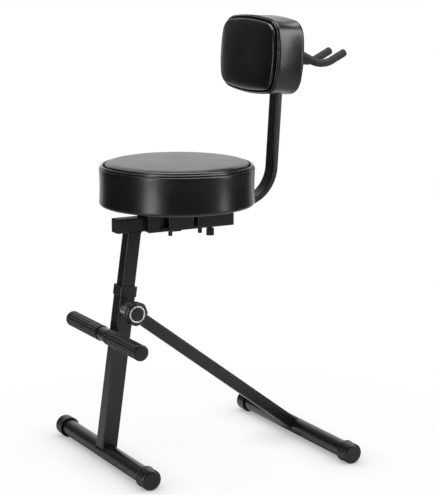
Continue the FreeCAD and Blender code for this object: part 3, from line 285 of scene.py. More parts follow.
def dust_group() -> bpy.types.NodeTree:
    """Thin dust that settles on faces that look up.

    Returns:
        A group with output Mask.
    """
    group = SurfaceGroup("settled_dust", "Mask")
    normal = group.add("ShaderNodeNewGeometry").outputs["Normal"]
    upward = group.add("ShaderNodeSeparateXYZ", Vector=normal).outputs["Z"]
    patches = group.noise(group.place, group.scale, 6.0, 0.7).outputs[0]
    lying = group.span(upward, *DUST_SLOPE, 0.0, 1.0)
    cover = group.span(patches, *DUST_SPAN, 0.0, 1.0)
    group.feed(group.outlet, group.math("MULTIPLY", lying, cover))
    return group.tree


def relief_group(grain: Grain) -> bpy.types.NodeTree:
    """Height of one kind of surface relief.

    Args:
        grain: The kind of relief.

    Returns:
        A group with output Height.
    """
    group = SurfaceGroup("relief_" + grain.name.lower(), "Height")
    if grain in (Grain.PEBBLE, Grain.CELLS):
        bend = group.noise(group.place, group.times_scale(0.6), 2.0).outputs["Color"]
        shifted = group.vector("MULTIPLY_ADD", bend, CELL_BEND, group.place).outputs[0]
        cells = group.add(
            "ShaderNodeTexVoronoi", {"feature": "DISTANCE_TO_EDGE"}, Vector=shifted, Scale=group.scale
        )
        height = group.span(cells.outputs["Distance"], *CELL_WALL, 0.0, 1.0)
        if grain is Grain.CELLS:
            height = group.math("SUBTRACT", 1.0, height)
    elif grain is Grain.TURNED:
        height = group.noise(group.place, group.scale, 1.0).outputs[0]
    else:
        detail = {Grain.PEEL: 1.5, Grain.SPARK: 6.0, Grain.CAST: 4.0}[grain]
        height = group.noise(group.place, group.scale, detail, 0.55).outputs[0]
    group.feed(group.outlet, height)
    return group.tree


class Effects:
    """Shader node groups that several finishes share, each made once."""

    def __init__(self) -> None:
        """Make the shared groups."""
        self.mottle = mottle_group()
        self.dust = dust_group()
        self.relief = {grain: relief_group(grain) for grain in Grain}


EFFECTS = Effects()


# Finishes

@dataclass(frozen=True)
class Finish:
    """One surface finish; its pattern is fixed to the piece by Object coordinates."""

    name: str
    slot: Slot
    colour: Triple
    worn_colour: Triple
    grain: Grain
    grain_per_m: float
    grain_depth: float
    smooth: float
    rough: float
    metallic: float = 0.0
    mottle_per_m: float = 14.0
    dust: float = 0.0
    dust_colour: Triple = (0.32, 0.31, 0.30)
    specular: float = 0.5
    sheen: float = 0.0
    soft_edge: float = 0.0
    stretch: Triple = (1.0, 1.0, 1.0)

    def material(self) -> bpy.types.Material:
        """Build the finish as a node material.

        Returns:
            The material.
        """
        made = bpy.data.materials.new(self.name)
        made.use_nodes = True
        made.diffuse_color = (*self.colour, 1.0)
        graph = Graph(made.node_tree)
        made.node_tree.nodes.clear()
        place = graph.add("ShaderNodeTexCoord").outputs["Object"]
        mapped = graph.add("ShaderNodeMapping", Vector=place, Scale=self.stretch).outputs[0]
        cloud = self.effect(graph, EFFECTS.mottle, place, self.mottle_per_m)
        shade = graph.mix(cloud, (*self.colour, 1.0), (*self.worn_colour, 1.0))
        rough = graph.span(cloud, 0.0, 1.0, self.smooth, self.rough)
        if self.dust:
            lying = self.effect(graph, EFFECTS.dust, place, self.mottle_per_m * DUST_FINER)
            amount = graph.math("MULTIPLY", lying, self.dust)
            shade = graph.mix(amount, shade, (*self.dust_colour, 1.0))
            rough = graph.math("ADD", rough, graph.math("MULTIPLY", amount, DUST_ROUGHNESS))
        height = self.effect(graph, EFFECTS.relief[self.grain], mapped, self.grain_per_m)
        bump = graph.add("ShaderNodeBump", Height=height, Distance=self.grain_depth, Strength=1.0)
        if self.soft_edge:
            edge = graph.add("ShaderNodeBevel", {"samples": 6}, Radius=self.soft_edge)
            graph.feed(bump.inputs["Normal"], edge.outputs[0])
        shader = graph.add(
            "ShaderNodeBsdfPrincipled", Base_Color=shade, Roughness=rough, Metallic=self.metallic,
            Normal=bump.outputs[0], Specular_IOR_Level=self.specular, Sheen_Weight=self.sheen,
        )
        outlet = graph.add("ShaderNodeOutputMaterial")
        graph.feed(outlet.inputs["Surface"], shader.outputs[0])
        return made

    @staticmethod
    def effect(
        graph: Graph, group: bpy.types.NodeTree, vector: bpy.types.NodeSocket, scale: float
    ) -> bpy.types.NodeSocket:
        """Place a shared group in a material.

        Args:
            graph: The material's graph.
            group: The group to place.
            vector: Coordinates that it reads.
            scale: Features per metre.

        Returns:
            The group's output.
        """
        return graph.add("ShaderNodeGroup", {"node_tree": group}, Vector=vector, Scale=scale).outputs[0]


@dataclass(frozen=True)
class Plywood(Finish):
    """Raw plywood: its plies show as bands across the thickness."""

    plies_per_m: float = 420.0
    ply_contrast: float = 0.35

    def material(self) -> bpy.types.Material:
        """Build the plywood and band its colour by height.

        Returns:
            The material.
        """
        made = super().material()
        graph = Graph(made.node_tree)
        shader = next(n for n in made.node_tree.nodes if n.type == "BSDF_PRINCIPLED")
        under = shader.inputs["Base Color"].links[0].from_socket
        place = graph.add("ShaderNodeTexCoord").outputs["Object"]
        bands = graph.add(
            "ShaderNodeTexWave", {"bands_direction": "Z"}, Vector=place, Scale=self.plies_per_m / FULL_TURN,
            Distortion=0.4,
        )
        plies = graph.mix(self.ply_contrast, under, bands.outputs["Color"], "MULTIPLY")
        graph.feed(shader.inputs["Base Color"], plies)
        return made


POWDER_COAT = Finish(
    "powder_coat", Slot.FRAME, (0.0060, 0.0060, 0.0063), (0.0090, 0.0090, 0.0094),
    Grain.PEEL, 1100.0, 0.00001, 0.23, 0.28, dust=0.008, soft_edge=0.0045,
)
VINYL = Finish(
    "upholstery_vinyl", Slot.VINYL, (0.0040, 0.0040, 0.0042), (0.0050, 0.0050, 0.0053),
    Grain.PEBBLE, 950.0, 0.000005, 0.26, 0.31, dust=0.001,
)
WELT_VINYL = Finish(
    "welt_vinyl", Slot.VINYL, (0.0045, 0.0045, 0.0048), (0.006, 0.006, 0.0063),
    Grain.PEBBLE, 1400.0, 0.000005, 0.14, 0.20,
)
THREAD = Finish(
    "bonded_thread", Slot.VINYL, (0.012, 0.012, 0.0125), (0.018, 0.018, 0.0185),
    Grain.SPARK, 4000.0, 0.0001, 0.45, 0.6,
)
RUBBER = Finish(
    "moulded_rubber", Slot.RUBBER, (0.0045, 0.0045, 0.0045), (0.0070, 0.0070, 0.0070),
    Grain.SPARK, 1800.0, 0.00001, 0.25, 0.33, dust=0.008, specular=0.45,
)
FOAM = Finish(
    "foam_sleeve", Slot.FOAM, (0.026, 0.026, 0.0265), (0.036, 0.036, 0.036),
    Grain.CELLS, 900.0, 0.00025, 0.7, 0.85, specular=0.3, sheen=0.08,
)
PLASTIC = Finish(
    "moulded_nylon", Slot.PLASTIC, (0.0045, 0.0045, 0.0045), (0.0070, 0.0070, 0.0070),
    Grain.SPARK, 2600.0, 0.00001, 0.30, 0.38, dust=0.008, soft_edge=0.0012,
)
ZINC = Finish(
    "cast_zinc", Slot.ZINC, (0.78, 0.775, 0.76), (0.66, 0.65, 0.63),
    Grain.CAST, 900.0, 0.00004, 0.26, 0.38, metallic=1.0,
)
BRIGHT = Finish(
    "bright_plating", Slot.RING, (0.80, 0.80, 0.80), (0.72, 0.72, 0.72),
    Grain.TURNED, 2400.0, 0.00001, 0.2, 0.3, metallic=1.0,
)
STEEL = Finish(
    "plated_screw_steel", Slot.STEEL, (0.52, 0.52, 0.52), (0.42, 0.41, 0.40),
    Grain.TURNED, 3000.0, 0.00002, 0.26, 0.4, metallic=1.0,
)
BLACK_OXIDE = Finish(
    "black_oxide_steel", Slot.SCREW, (0.012, 0.012, 0.013), (0.02, 0.02, 0.021),
    Grain.TURNED, 2600.0, 0.00002, 0.3, 0.42,
)
BRASS = Finish(
    "turned_brass", Slot.BRASS, (0.70, 0.52, 0.24), (0.55, 0.40, 0.18),
    Grain.TURNED, 2500.0, 0.00002, 0.28, 0.4, metallic=1.0,
)
PLYWOOD = Plywood(
    "raw_plywood", Slot.PLYWOOD, (0.46, 0.33, 0.20), (0.36, 0.25, 0.15),
    Grain.SPARK, 700.0, 0.0001, 0.6, 0.75, stretch=(0.2, 1.0, 1.0),
)
SEWING = (WELT_VINYL, THREAD)
FRAME_FINISHES = (
    POWDER_COAT, VINYL, RUBBER, FOAM, PLASTIC, ZINC, BRIGHT, STEEL, BLACK_OXIDE, BRASS, PLYWOOD,
)
MATERIALS = {finish.name: finish.material() for finish in FRAME_FINISHES + SEWING}
CAD_FINISH = {finish.slot: finish for finish in FRAME_FINISHES}


# Meshes

def mesh_object(
    name: str, points: np.ndarray, faces: list[tuple[int, ...]], edges: list[tuple[int, int]] | None = None,
    smooth: bool = True,
) -> bpy.types.Object:
    """Make a mesh object at the origin from world points.

    Args:
        name: The object's name.
        points: Vertex positions, one row each.
        faces: Vertex indices of each face.
        edges: Vertex indices of loose edges.
        smooth: Whether faces are shaded smooth.

    Returns:
        The object, linked to the scene.
    """
    mesh = bpy.data.meshes.new(name)
    mesh.from_pydata([tuple(map(float, p)) for p in points], edges or [], faces)
    mesh.update()
    if smooth:
        mesh.polygons.foreach_set("use_smooth", [True] * len(mesh.polygons))
    made = bpy.data.objects.new(name, mesh)
    bpy.context.scene.collection.objects.link(made)
    return made


def edge_line(name: str, points: np.ndarray, closed: bool) -> bpy.types.Object:
    """Make an object of edges only, to carry stitches, welds or bolts.

    Args:
        name: The object's name.
        points: Positions along the line.
        closed: Whether the last point joins the first.

    Returns:
        The object.
    """
    count = len(points)
    edges = [(i, (i + 1) % count) for i in range(count if closed else count - 1)]
    return mesh_object(name, points, [], edges)


def loft_faces(rings: int, count: int, capped: bool = False, looped: bool = False) -> list[tuple[int, ...]]:
    """Quads between closed rings of equal count.

    Args:
        rings: Number of rings.
        count: Points in each ring.
        capped: Whether the first and the last ring are closed by faces.
        looped: Whether the last ring joins the first.

    Returns:
        Faces as vertex indices.
    """
    faces = []
    for ring in range(rings if looped else rings - 1):
        low = ring * count
        high = (ring + 1) % rings * count
        for here in range(count):
            there = (here + 1) % count
            faces.append((low + here, low + there, high + there, high + here))
    if capped:
        faces.append(tuple(range(count))[::-1])
        faces.append(tuple(range((rings - 1) * count, rings * count)))
    return faces


def outward(piece: bpy.types.Object) -> None:
    """Point a closed piece's faces outwards.

    Args:
        piece: The piece to mend.
    """
    work = bmesh.new()
    work.from_mesh(piece.data)
    bmesh.ops.recalc_face_normals(work, faces=work.faces)
    work.to_mesh(piece.data)
    work.free()


def lofted(name: str, rings: np.ndarray, looped: bool = False) -> bpy.types.Object:
    """Make a closed piece through rings of points.

    Args:
        name: The object's name.
        rings: Positions, indexed by ring, point and coordinate.
        looped: Whether the last ring joins the first instead of end faces.

    Returns:
        The object.
    """
    faces = loft_faces(rings.shape[0], rings.shape[1], not looped, looped)
    piece = mesh_object(name, rings.reshape(-1, 3), faces)
    outward(piece)
    return piece


def round_angles(count: int) -> np.ndarray:
    """Evenly spaced angles over a full turn."""
    return np.linspace(0.0, FULL_TURN, count, endpoint=False)


def turned_rings(profile: Profile, origin: Vector, axis: Vector, count: int) -> np.ndarray:
    """Rings of a turned piece.

    Args:
        profile: (along, radius) pairs in metres.
        origin: Where along is zero.
        axis: Direction of the turning axis.
        count: Points round each ring.

    Returns:
        Positions, indexed by ring, point and coordinate.
    """
    basis = np.array(UP.rotation_difference(axis).to_matrix())
    angles = round_angles(count)
    rings = []
    for along, radius in profile:
        local = np.column_stack([radius * np.cos(angles), radius * np.sin(angles), np.full(count, along)])
        rings.append(local @ basis.T + np.array(origin))
    return np.array(rings)


def rounded(profile: Profile, radius: float, steps: int = 5, share: float = 0.45) -> Profile:
    """Round the inner corners of an open profile.

    Args:
        profile: Corner points.
        radius: Rounding radius.
        steps: Points on each rounding.
        share: Part of a run that one rounding may take at most.

    Returns:
        The profile with rounded corners.
    """
    points = [np.array(p, float) for p in profile]
    out = [points[0]]
    for before, here, after in zip(points, points[1:], points[2:]):
        runs = (before - here, after - here)
        sizes = [np.linalg.norm(run) for run in runs]
        reach = min(radius, share * sizes[0], share * sizes[1])
        start, end = (here + run / size * reach for run, size in zip(runs, sizes))
        for t in np.linspace(0.0, 1.0, steps + 1):
            out.append((1 - t) ** 2 * start + 2 * t * (1 - t) * here + t ** 2 * end)
    out.append(points[-1])
    return [tuple(p) for p in out]


def dress(piece: bpy.types.Object, finish: Finish, body: Body, replaced: tuple[str, ...] = ()) -> None:
    """Give a piece its finish and tie it to the frame.

    Args:
        piece: The finished piece.
        finish: Its finish.
        body: The body that it moves with.
        replaced: Frame nodes that it stands for.
    """
    if not piece.data.materials:
        piece.data.materials.append(MATERIALS[finish.name])
    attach(piece, body.value)
    if replaced:
        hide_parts(*replaced)
    LOG.info("%s: %d faces on %s", piece.name, len(piece.data.polygons), body.value)


def joint_vector(name: str, entry: str) -> Vector:
    """Place or direction of a frame joint.

    Args:
        name: The joint's name.
        entry: Which of its entries to read.

    Returns:
        The entry as a vector.
    """
    return Vector(next(j[entry] for j in frame["joints"] if j["name"] == name))


def joint_place(name: str) -> Vector:
    """Position of a frame joint in metres."""
    return joint_vector(name, "pos_m")


def joint_axis(name: str) -> Vector:
    """Unit direction of a frame joint's axis."""
    return joint_vector(name, "axis").normalized()


def middle_of(node: str) -> Vector:
    """Middle of a frame node's box."""
    low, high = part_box(node)
    return (low + high) / 2


def width_of(node: str) -> float:
    """Size of a frame node along X."""
    low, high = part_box(node)
    return high.x - low.x


def inner_end(node: str, side: Side) -> float:
    """X of the end of a node that faces the stool's middle."""
    low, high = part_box(node)
    return low.x if side is Side.RIGHT else high.x


# Geometry node trees

class Repeat(Graph):
    """A geometry node tree that is built in code, with named inputs, and turned into a plain mesh."""

    def __init__(self, name: str, lengths: tuple[str, ...], others: dict[str, str] | None = None) -> None:
        """Start the tree.

        Args:
            name: The tree's name.
            lengths: Names of the inputs that are plain numbers.
            others: Socket types of further inputs by name.
        """
        super().__init__(bpy.data.node_groups.new(name, "GeometryNodeTree"))
        inputs = {"Geometry": "NodeSocketGeometry"}
        inputs |= {label: "NodeSocketFloat" for label in lengths}
        inputs |= others or {}
        inputs["Finish"] = "NodeSocketMaterial"
        for label, kind in inputs.items():
            self.tree.interface.new_socket(label, in_out="INPUT", socket_type=kind)
        self.tree.interface.new_socket("Geometry", in_out="OUTPUT", socket_type="NodeSocketGeometry")
        self.inlet = self.add("NodeGroupInput").outputs

    def join(self, *pieces: bpy.types.NodeSocket) -> bpy.types.NodeSocket:
        """Join several geometries.

        Args:
            pieces: Sockets of the geometries.

        Returns:
            The joined geometry's socket.
        """
        both = self.add("GeometryNodeJoinGeometry")
        for piece in pieces:
            self.feed(both.inputs[0], piece)
        return both.outputs[0]

    def rod(self, axis: str, start: object, end: object, radius: object, sides: int) -> bpy.types.NodeSocket:
        """A straight rod through the origin's axis.

        Args:
            axis: X, Y or Z.
            start: Where it starts on that axis.
            end: Where it ends.
            radius: Its radius.
            sides: Corners of its section.

        Returns:
            The rod's socket.
        """
        ends = [self.add("ShaderNodeCombineXYZ", **{axis: reach}).outputs[0] for reach in (start, end)]
        run = self.add("GeometryNodeCurvePrimitiveLine", Start=ends[0], End=ends[1])
        ring = self.add("GeometryNodeCurvePrimitiveCircle", Resolution=sides, Radius=radius)
        rod = self.add(
            "GeometryNodeCurveToMesh", Curve=run.outputs[0], Profile_Curve=ring.outputs[0], Fill_Caps=True
        )
        return rod.outputs[0]

    def lay(
        self, points: object, piece: object, way: object = None, scale: Triple = (1.0, 1.0, 1.0)
    ) -> bpy.types.NodeSocket:
        """Set one copy of a piece at each point.

        Args:
            points: Socket of the points.
            piece: Socket of the piece.
            way: Socket of the direction that the piece's Z axis takes.
            scale: Scale of each copy.

        Returns:
            The copies' socket.
        """
        laid = self.add("GeometryNodeInstanceOnPoints", Points=points, Instance=piece, Scale=scale)
        if way is not None:
            aim = self.add("FunctionNodeAlignRotationToVector", {"axis": "Z"}, Vector=way)
            self.feed(laid.inputs["Rotation"], aim.outputs[0])
        return laid.outputs[0]

    def lay_along(self, piece: object, scale: Triple = (1.0, 1.0, 1.0)) -> bpy.types.NodeSocket:
        """Set copies of a piece along the source's edges, one for each Pitch.

        Args:
            piece: Socket of the piece.
            scale: Scale of each copy.

        Returns:
            The copies' socket.
        """
        line = self.add("GeometryNodeMeshToCurve", Mesh=self.inlet["Geometry"])
        spots = self.add(
            "GeometryNodeCurveToPoints", {"mode": "LENGTH"}, Curve=line.outputs[0], Length=self.inlet["Pitch"]
        ).outputs
        return self.lay(spots["Points"], piece, spots["Tangent"], scale)

    def close(self, geometry: bpy.types.NodeSocket) -> "Repeat":
        """End the tree in real geometry with its material.

        Args:
            geometry: The socket that holds the result.

        Returns:
            The tree itself.
        """
        real = self.add("GeometryNodeRealizeInstances", Geometry=geometry)
        coated = self.add("GeometryNodeSetMaterial", Geometry=real.outputs[0], Material=self.inlet["Finish"])
        smooth = self.add("GeometryNodeSetShadeSmooth", Geometry=coated.outputs[0])
        self.feed(self.add("NodeGroupOutput").inputs["Geometry"], smooth.outputs[0])
        return self

    def apply(self, piece: bpy.types.Object, finish: Finish, **values: object) -> bpy.types.Object:
        """Run the tree on a piece and keep the result as its mesh.

        Args:
            piece: The object that carries the source geometry.
            finish: Finish of the result.
            values: Input values by name.

        Returns:
            The same object with a plain mesh.
        """
        values["Finish"] = MATERIALS[finish.name]
        modifier = piece.modifiers.new(self.tree.name, "NODES")
        modifier.node_group = self.tree
        for item in self.tree.interface.items_tree:
            if item.in_out == "INPUT" and item.name in values:
                modifier[item.identifier] = values[item.name]
        graph = bpy.context.evaluated_depsgraph_get()
        result = bpy.data.meshes.new_from_object(piece.evaluated_get(graph))
        piece.modifiers.remove(modifier)
        old = piece.data
        piece.data = result
        bpy.data.meshes.remove(old)
        return piece


def stitch_tree() -> Repeat:
    """Thread stitches along a line of edges.

    Returns:
        A tree with inputs Pitch, Length, Thread and Finish.
    """
    tree = Repeat("stitches", ("Pitch", "Length", "Thread"))
    half, back = (tree.math("MULTIPLY", tree.inlet["Length"], share) for share in (0.5, -0.5))
    return tree.close(tree.lay_along(tree.rod("Z", back, half, tree.inlet["Thread"], THREAD_SIDES)))


def rib_tree() -> Repeat:
    """Half-round ribs round a sleeve that lies along X, added to the sleeve's own mesh.

    Returns:
        A tree with inputs Radius, Rib, From, To, Count, Centre and Finish.
    """
    tree = Repeat(
        "grip_ribs", ("Radius", "Rib", "From", "To"), {"Count": "NodeSocketInt", "Centre": "NodeSocketVector"}
    )
    inlet = tree.inlet
    circle = tree.add("GeometryNodeMeshCircle", Vertices=inlet["Count"], Radius=inlet["Radius"])
    upright = tree.add(
        "GeometryNodeTransform", Geometry=circle.outputs[0], Translation=inlet["Centre"],
        Rotation=(0.0, math.pi / 2, 0.0),
    )
    rib = tree.rod("X", inlet["From"], inlet["To"], inlet["Rib"], RIB_SIDES)
    ribs = tree.lay(upright.outputs[0], rib)
    return tree.close(tree.join(ribs, inlet["Geometry"]))


def weld_tree() -> Repeat:
    """Overlapping ripples of a weld bead along a line of edges.

    Returns:
        A tree with inputs Pitch, Bead and Finish.
    """
    tree = Repeat("weld_ripples", ("Pitch", "Bead"))
    drop = tree.add(
        "GeometryNodeMeshUVSphere", Segments=RIPPLE_SEGMENTS, Rings=RIPPLE_RINGS, Radius=tree.inlet["Bead"]
    )
    return tree.close(tree.lay_along(drop.outputs[0], RIPPLE_SCALE))


def bolt_tree() -> Repeat:
    """Hexagon bolt heads on washers, one at each point, along a given axis.

    Returns:
        A tree with inputs Head, Height, Washer, Axis and Finish.
    """
    tree = Repeat("bolt_heads", ("Head", "Height", "Washer"), {"Axis": "NodeSocketVector"})
    inlet = tree.inlet
    head = tree.add("GeometryNodeMeshCylinder", Vertices=6, Radius=inlet["Head"], Depth=inlet["Height"])
    lift = tree.add("ShaderNodeCombineXYZ", Z=tree.math("MULTIPLY", inlet["Height"], HEAD_LIFT))
    raised = tree.add("GeometryNodeTransform", Geometry=head.outputs[0], Translation=lift.outputs[0])
    thick = tree.math("MULTIPLY", inlet["Height"], WASHER_THICK)
    disc = tree.add(
        "GeometryNodeMeshCylinder", Vertices=WASHER_SIDES, Radius=inlet["Washer"], Depth=thick
    )
    pair = tree.join(raised.outputs[0], disc.outputs[0])
    return tree.close(tree.lay(inlet["Geometry"], pair, inlet["Axis"]))


STITCHES = stitch_tree()
RIBS = rib_tree()
WELDS = weld_tree()
BOLTS = bolt_tree()


# Upholstery

@dataclass(frozen=True)
class Arc:
    """One arc of a pad's outline, in metres and radians."""

    x: float
    y: float
    radius: float
    start: float
    end: float

    def points(self, inset: float, count: int) -> np.ndarray:
        """Evenly spaced points, without the last one.

        Args:
            inset: How far the arc is drawn in.
            count: Number of points.

        Returns:
            Positions in the outline's plane.
        """
        angles = np.linspace(self.start, self.end, count, endpoint=False)
        reach = self.radius - inset
        return np.column_stack([self.x + reach * np.cos(angles), self.y + reach * np.sin(angles)])

    def length(self) -> float:
        """Length of the arc without an inset."""
        return abs(self.end - self.start) * self.radius


CLOTH = {
    "quality": 5, "mass": 0.4, "tension_stiffness": 40.0, "compression_stiffness": 40.0,
    "shear_stiffness": 20.0, "bending_stiffness": 2.0, "use_pressure": True, "uniform_pressure_force": 4.0,
    "vertex_group_mass": "sewn",
}
FILLING_FRAMES = 20


@dataclass
class BoxedCushion:
    """An upholstered pad: a crowned panel in a sewn groove, a welt, a band and a back edge tucked in."""

    name: str
    node: str
    body: Body
    arcs: tuple[Arc, ...]
    place: Matrix
    thick: float
    panel_rise: float
    crown: float
    waist: float
    tuck: float
    fill: float
    edge: float = 0.007
    roll: float = 0.004
    roll_degrees: float = 110.0
    groove: float = 0.0125
    groove_depth: float = 0.006
    groove_dish: float = 0.0010
    panel_edge: float = 0.0055
    welt_radius: float = 0.0030
    welt_inset: float = 0.0063
    welt_proud: float = 0.55
    swell_cap: float = 0.0035
    stitch_pitch: float = 0.0042
    stitch: float = 0.0031
    stitch_inset: float = 0.0016
    thread: float = 0.0004
    hem: float = 0.0006
    points_round: int = 288
    points_evened: int = 6
    edge_steps: int = 6
    band_steps: int = 15
    roll_steps: int = 5
    panel_rings: int = 26
    welt_sides: int = 16

    def outline(self, inset: float, share: float = 1.0) -> np.ndarray:
        """Outline of the pad drawn in by an inset and then scaled.

        Args:
            inset: How far the outline is drawn in.
            share: Scale about the middle.

        Returns:
            Positions in the outline's plane.
        """
        whole = sum(arc.length() for arc in self.arcs)
        counts = [max(3, round(self.points_round * arc.length() / whole)) for arc in self.arcs]
        counts[0] += self.points_round - sum(counts)
        return share * np.concatenate([arc.points(inset, n) for arc, n in zip(self.arcs, counts)])

    def ring(self, inset: float, height: float, share: float = 1.0) -> np.ndarray:
        """The outline at a height, as points in the cushion's own axes."""
        flat = self.outline(inset, share)
        return np.column_stack([flat, np.full(len(flat), height)])

    def sections(self) -> list[tuple[float, float, bool]]:
        """Inset, height and whether sewn, from the back edge over the band to the panel's edge.

        Returns:
            One entry for each ring.
        """
        rings = [(self.tuck, self.hem, True), (self.edge * 1.3, 0.0, True)]
        for step in range(1, self.edge_steps + 1):
            turn = math.radians(90.0 * step / self.edge_steps)
            rings.append((self.edge * (1 - math.sin(turn)), self.edge * (1 - math.cos(turn)), step < 2))
        band_top = self.thick - self.groove_depth / 2 - self.roll
        for step in range(1, self.band_steps):
            t = step / self.band_steps
            rings.append((self.waist * math.sin(math.pi * t), self.edge + (band_top - self.edge) * t, False))
        for step in range(self.roll_steps + 1):
            turn = math.radians(self.roll_degrees * step / self.roll_steps)
            rings.append((self.roll * (1 - math.cos(turn)), band_top + self.roll * math.sin(turn), step > 3))
        low = self.thick - self.groove_depth
        rings.append((self.welt_inset, low - self.hem, True))
        rings.append(((self.welt_inset + self.groove) / 2, low - self.groove_dish, True))
        rings.append((self.groove, low, True))
        side = self.thick + self.panel_rise - self.panel_edge
        rings.append((self.groove + SLIP, (low + side) / 2, False))
        for step in range(self.roll_steps + 1):
            turn = math.radians(90.0 * step / self.roll_steps)
            inset = self.groove + self.panel_edge * (1 - math.cos(turn))
            rings.append((inset, side + self.panel_edge * math.sin(turn), False))
        return rings

    def start_mesh(self) -> bpy.types.Object:
        """The cut and sewn cover before it is filled.

        Returns:
            The cover, with its sewn points in a vertex group.
        """
        sections = self.sections()
        rows = [self.ring(inset, height) for inset, height, _ in sections]
        rim = self.groove + self.panel_edge
        top = self.thick + self.panel_rise
        for step in range(1, self.panel_rings):
            share = 1.0 - step / self.panel_rings
            rows.append(self.ring(rim, top + self.crown * (1.0 - share ** 2), share))
        count = self.points_round
        faces = loft_faces(len(rows), count)
        middle = len(rows) * count
        last = middle - count
        faces += [(last + here, last + (here + 1) % count, middle) for here in range(count)]
        points = np.vstack(rows + [[0.0, 0.0, top + self.crown]])
        cover = mesh_object(self.name, points, faces)
        outward(cover)
        sewn = [row * count + i for row, section in enumerate(sections) if section[2] for i in range(count)]
        cover.vertex_groups.new(name="sewn").add(sewn, 1.0, "REPLACE")
        return cover

    def fill_cover(self, cover: bpy.types.Object) -> None:
        """Swell the cover by a cloth simulation between its seams, and keep the shape.

        Args:
            cover: The sewn cover, in the cushion's own axes.
        """
        before = np.array([v.co for v in cover.data.vertices])
        cloth = cover.modifiers.new("filling", "CLOTH")
        for key, value in CLOTH.items():
            setattr(cloth.settings, key, value)
        cloth.settings.effector_weights.gravity = 0.0
        cloth.collision_settings.use_collision = False
        cloth.point_cache.frame_start = 1
        cloth.point_cache.frame_end = FILLING_FRAMES
        scene = bpy.context.scene
        for number in range(1, FILLING_FRAMES + 1):
            scene.frame_set(number)
        graph = bpy.context.evaluated_depsgraph_get()
        swollen = np.array([v.co for v in cover.evaluated_get(graph).data.vertices])
        cover.modifiers.remove(cloth)
        scene.frame_set(1)
        moved = self.evened(swollen - before)
        far = np.linalg.norm(moved, axis=1, keepdims=True)
        limit = self.swell_cap * np.tanh(far / self.swell_cap)
        after = before + moved * limit / np.maximum(far, 1e-9)
        cover.data.vertices.foreach_set("co", after.astype(np.float32).ravel())
        cover.data.update()

    def evened(self, moved: np.ndarray) -> np.ndarray:
        """Even out the swelling along each ring, so that the tight cover has no small buckles.

        Args:
            moved: Movement of every point.

        Returns:
            The evened movement.
        """
        rings = moved[:-1].reshape(-1, self.points_round, 3)
        reach = self.points_evened
        total = sum(np.roll(rings, step, axis=1) for step in range(-reach, reach + 1))
        even = total / (2 * reach + 1)
        return np.vstack([even.reshape(-1, 3), moved[-1:]])

    def build(self) -> None:
        """Make the cover, its welt and its stitches."""
        cover = self.start_mesh()
        self.fill_cover(cover)
        cover.vertex_groups.clear()
        cover.data.transform(self.place)
        finer = cover.modifiers.new("finer", "SUBSURF")
        finer.levels = 1
        finer.render_levels = 1
        dress(cover, VINYL, self.body, (self.node,))
        self.welt()
        self.stitches()

    def welt(self) -> None:
        """Piping cord sewn in between the band and the panel."""
        height = self.thick - self.groove_depth / 2 + self.welt_radius * self.welt_proud
        path = self.ring(self.welt_inset, height)
        ahead = np.roll(path, -1, axis=0) - np.roll(path, 1, axis=0)
        ahead /= np.linalg.norm(ahead, axis=1, keepdims=True)
        side = np.column_stack([ahead[:, 1], -ahead[:, 0], np.zeros(len(path))])
        rows = []
        for turn in round_angles(self.welt_sides):
            shift = side * math.cos(turn) + np.array(UP) * math.sin(turn)
            rows.append(path + self.welt_radius * shift)
        welt = lofted(self.name + "_welt", np.array(rows), True)
        welt.data.transform(self.place)
        dress(welt, WELT_VINYL, self.body)

    def stitches(self) -> None:
        """Thread of the seam in the groove beside the welt, as one mesh."""
        seam = self.ring(self.groove - self.stitch_inset, self.thick - self.groove_depth + self.hem)
        line = edge_line(self.name + "_stitches", seam, True)
        line.data.transform(self.place)
        STITCHES.apply(line, THREAD, Pitch=self.stitch_pitch, Length=self.stitch, Thread=self.thread)
        dress(line, THREAD, self.body)


def seat_cushion() -> BoxedCushion:
    """The round seat, sized from its frame node.

    Returns:
        The cushion, ready to build.
    """
    low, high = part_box("seat_cushion")
    middle = (low + high) / 2
    radius = (high.x - low.x) / 2
    lift = 0.0015
    return BoxedCushion(
        name="seat_cover", node="seat_cushion", body=Body.SEAT, arcs=(Arc(0.0, 0.0, radius, 0.0, FULL_TURN),),
        place=Matrix.Translation((middle.x, middle.y, low.z + lift)), thick=0.0900 - lift,
        panel_rise=0.0058, crown=0.0025, waist=0.0012, tuck=0.0150, fill=0.85, edge=0.0060,
        panel_edge=0.0034, swell_cap=0.0022,
    )


@dataclass(frozen=True)
class PadOutline:
    """Bowed outline of the backrest pad: eight arcs that touch each other."""

    width: float = 0.258
    height: float = 0.176
    corner: float = 0.044
    side_bow: float = 0.210
    end_bow: float = 0.700

    def arcs(self) -> tuple[Arc, ...]:
        """Work out the arcs, from the right side round to the lower right corner.

        Returns:
            The arcs in order round the pad.
        """
        side_x = self.width / 2 - self.side_bow
        end_y = self.height / 2 - self.end_bow
        to_end = self.end_bow - self.corner
        to_side = self.side_bow - self.corner
        span = math.hypot(side_x, end_y)
        along = (to_end ** 2 - to_side ** 2 + span ** 2) / (2 * span)
        across = math.sqrt(to_end ** 2 - along ** 2)
        unit_x = side_x / span
        unit_y = -end_y / span
        x = along * unit_x + across * unit_y
        y = end_y + along * unit_y - across * unit_x
        side_turn = math.atan2(y, x - side_x)
        end_turn = math.atan2(y - end_y, x)
        arcs = []
        for sign, start in ((1, 0.0), (-1, HALF_TURN)):
            far = start + HALF_TURN
            arcs += [
                Arc(sign * side_x, 0.0, self.side_bow, start - side_turn, start + side_turn),
                Arc(sign * x, sign * y, self.corner, start + side_turn, start + end_turn),
                Arc(0.0, sign * end_y, self.end_bow, start + end_turn, far - end_turn),
                Arc(-sign * x, sign * y, self.corner, far - end_turn, far - side_turn),
            ]
        return tuple(arcs)


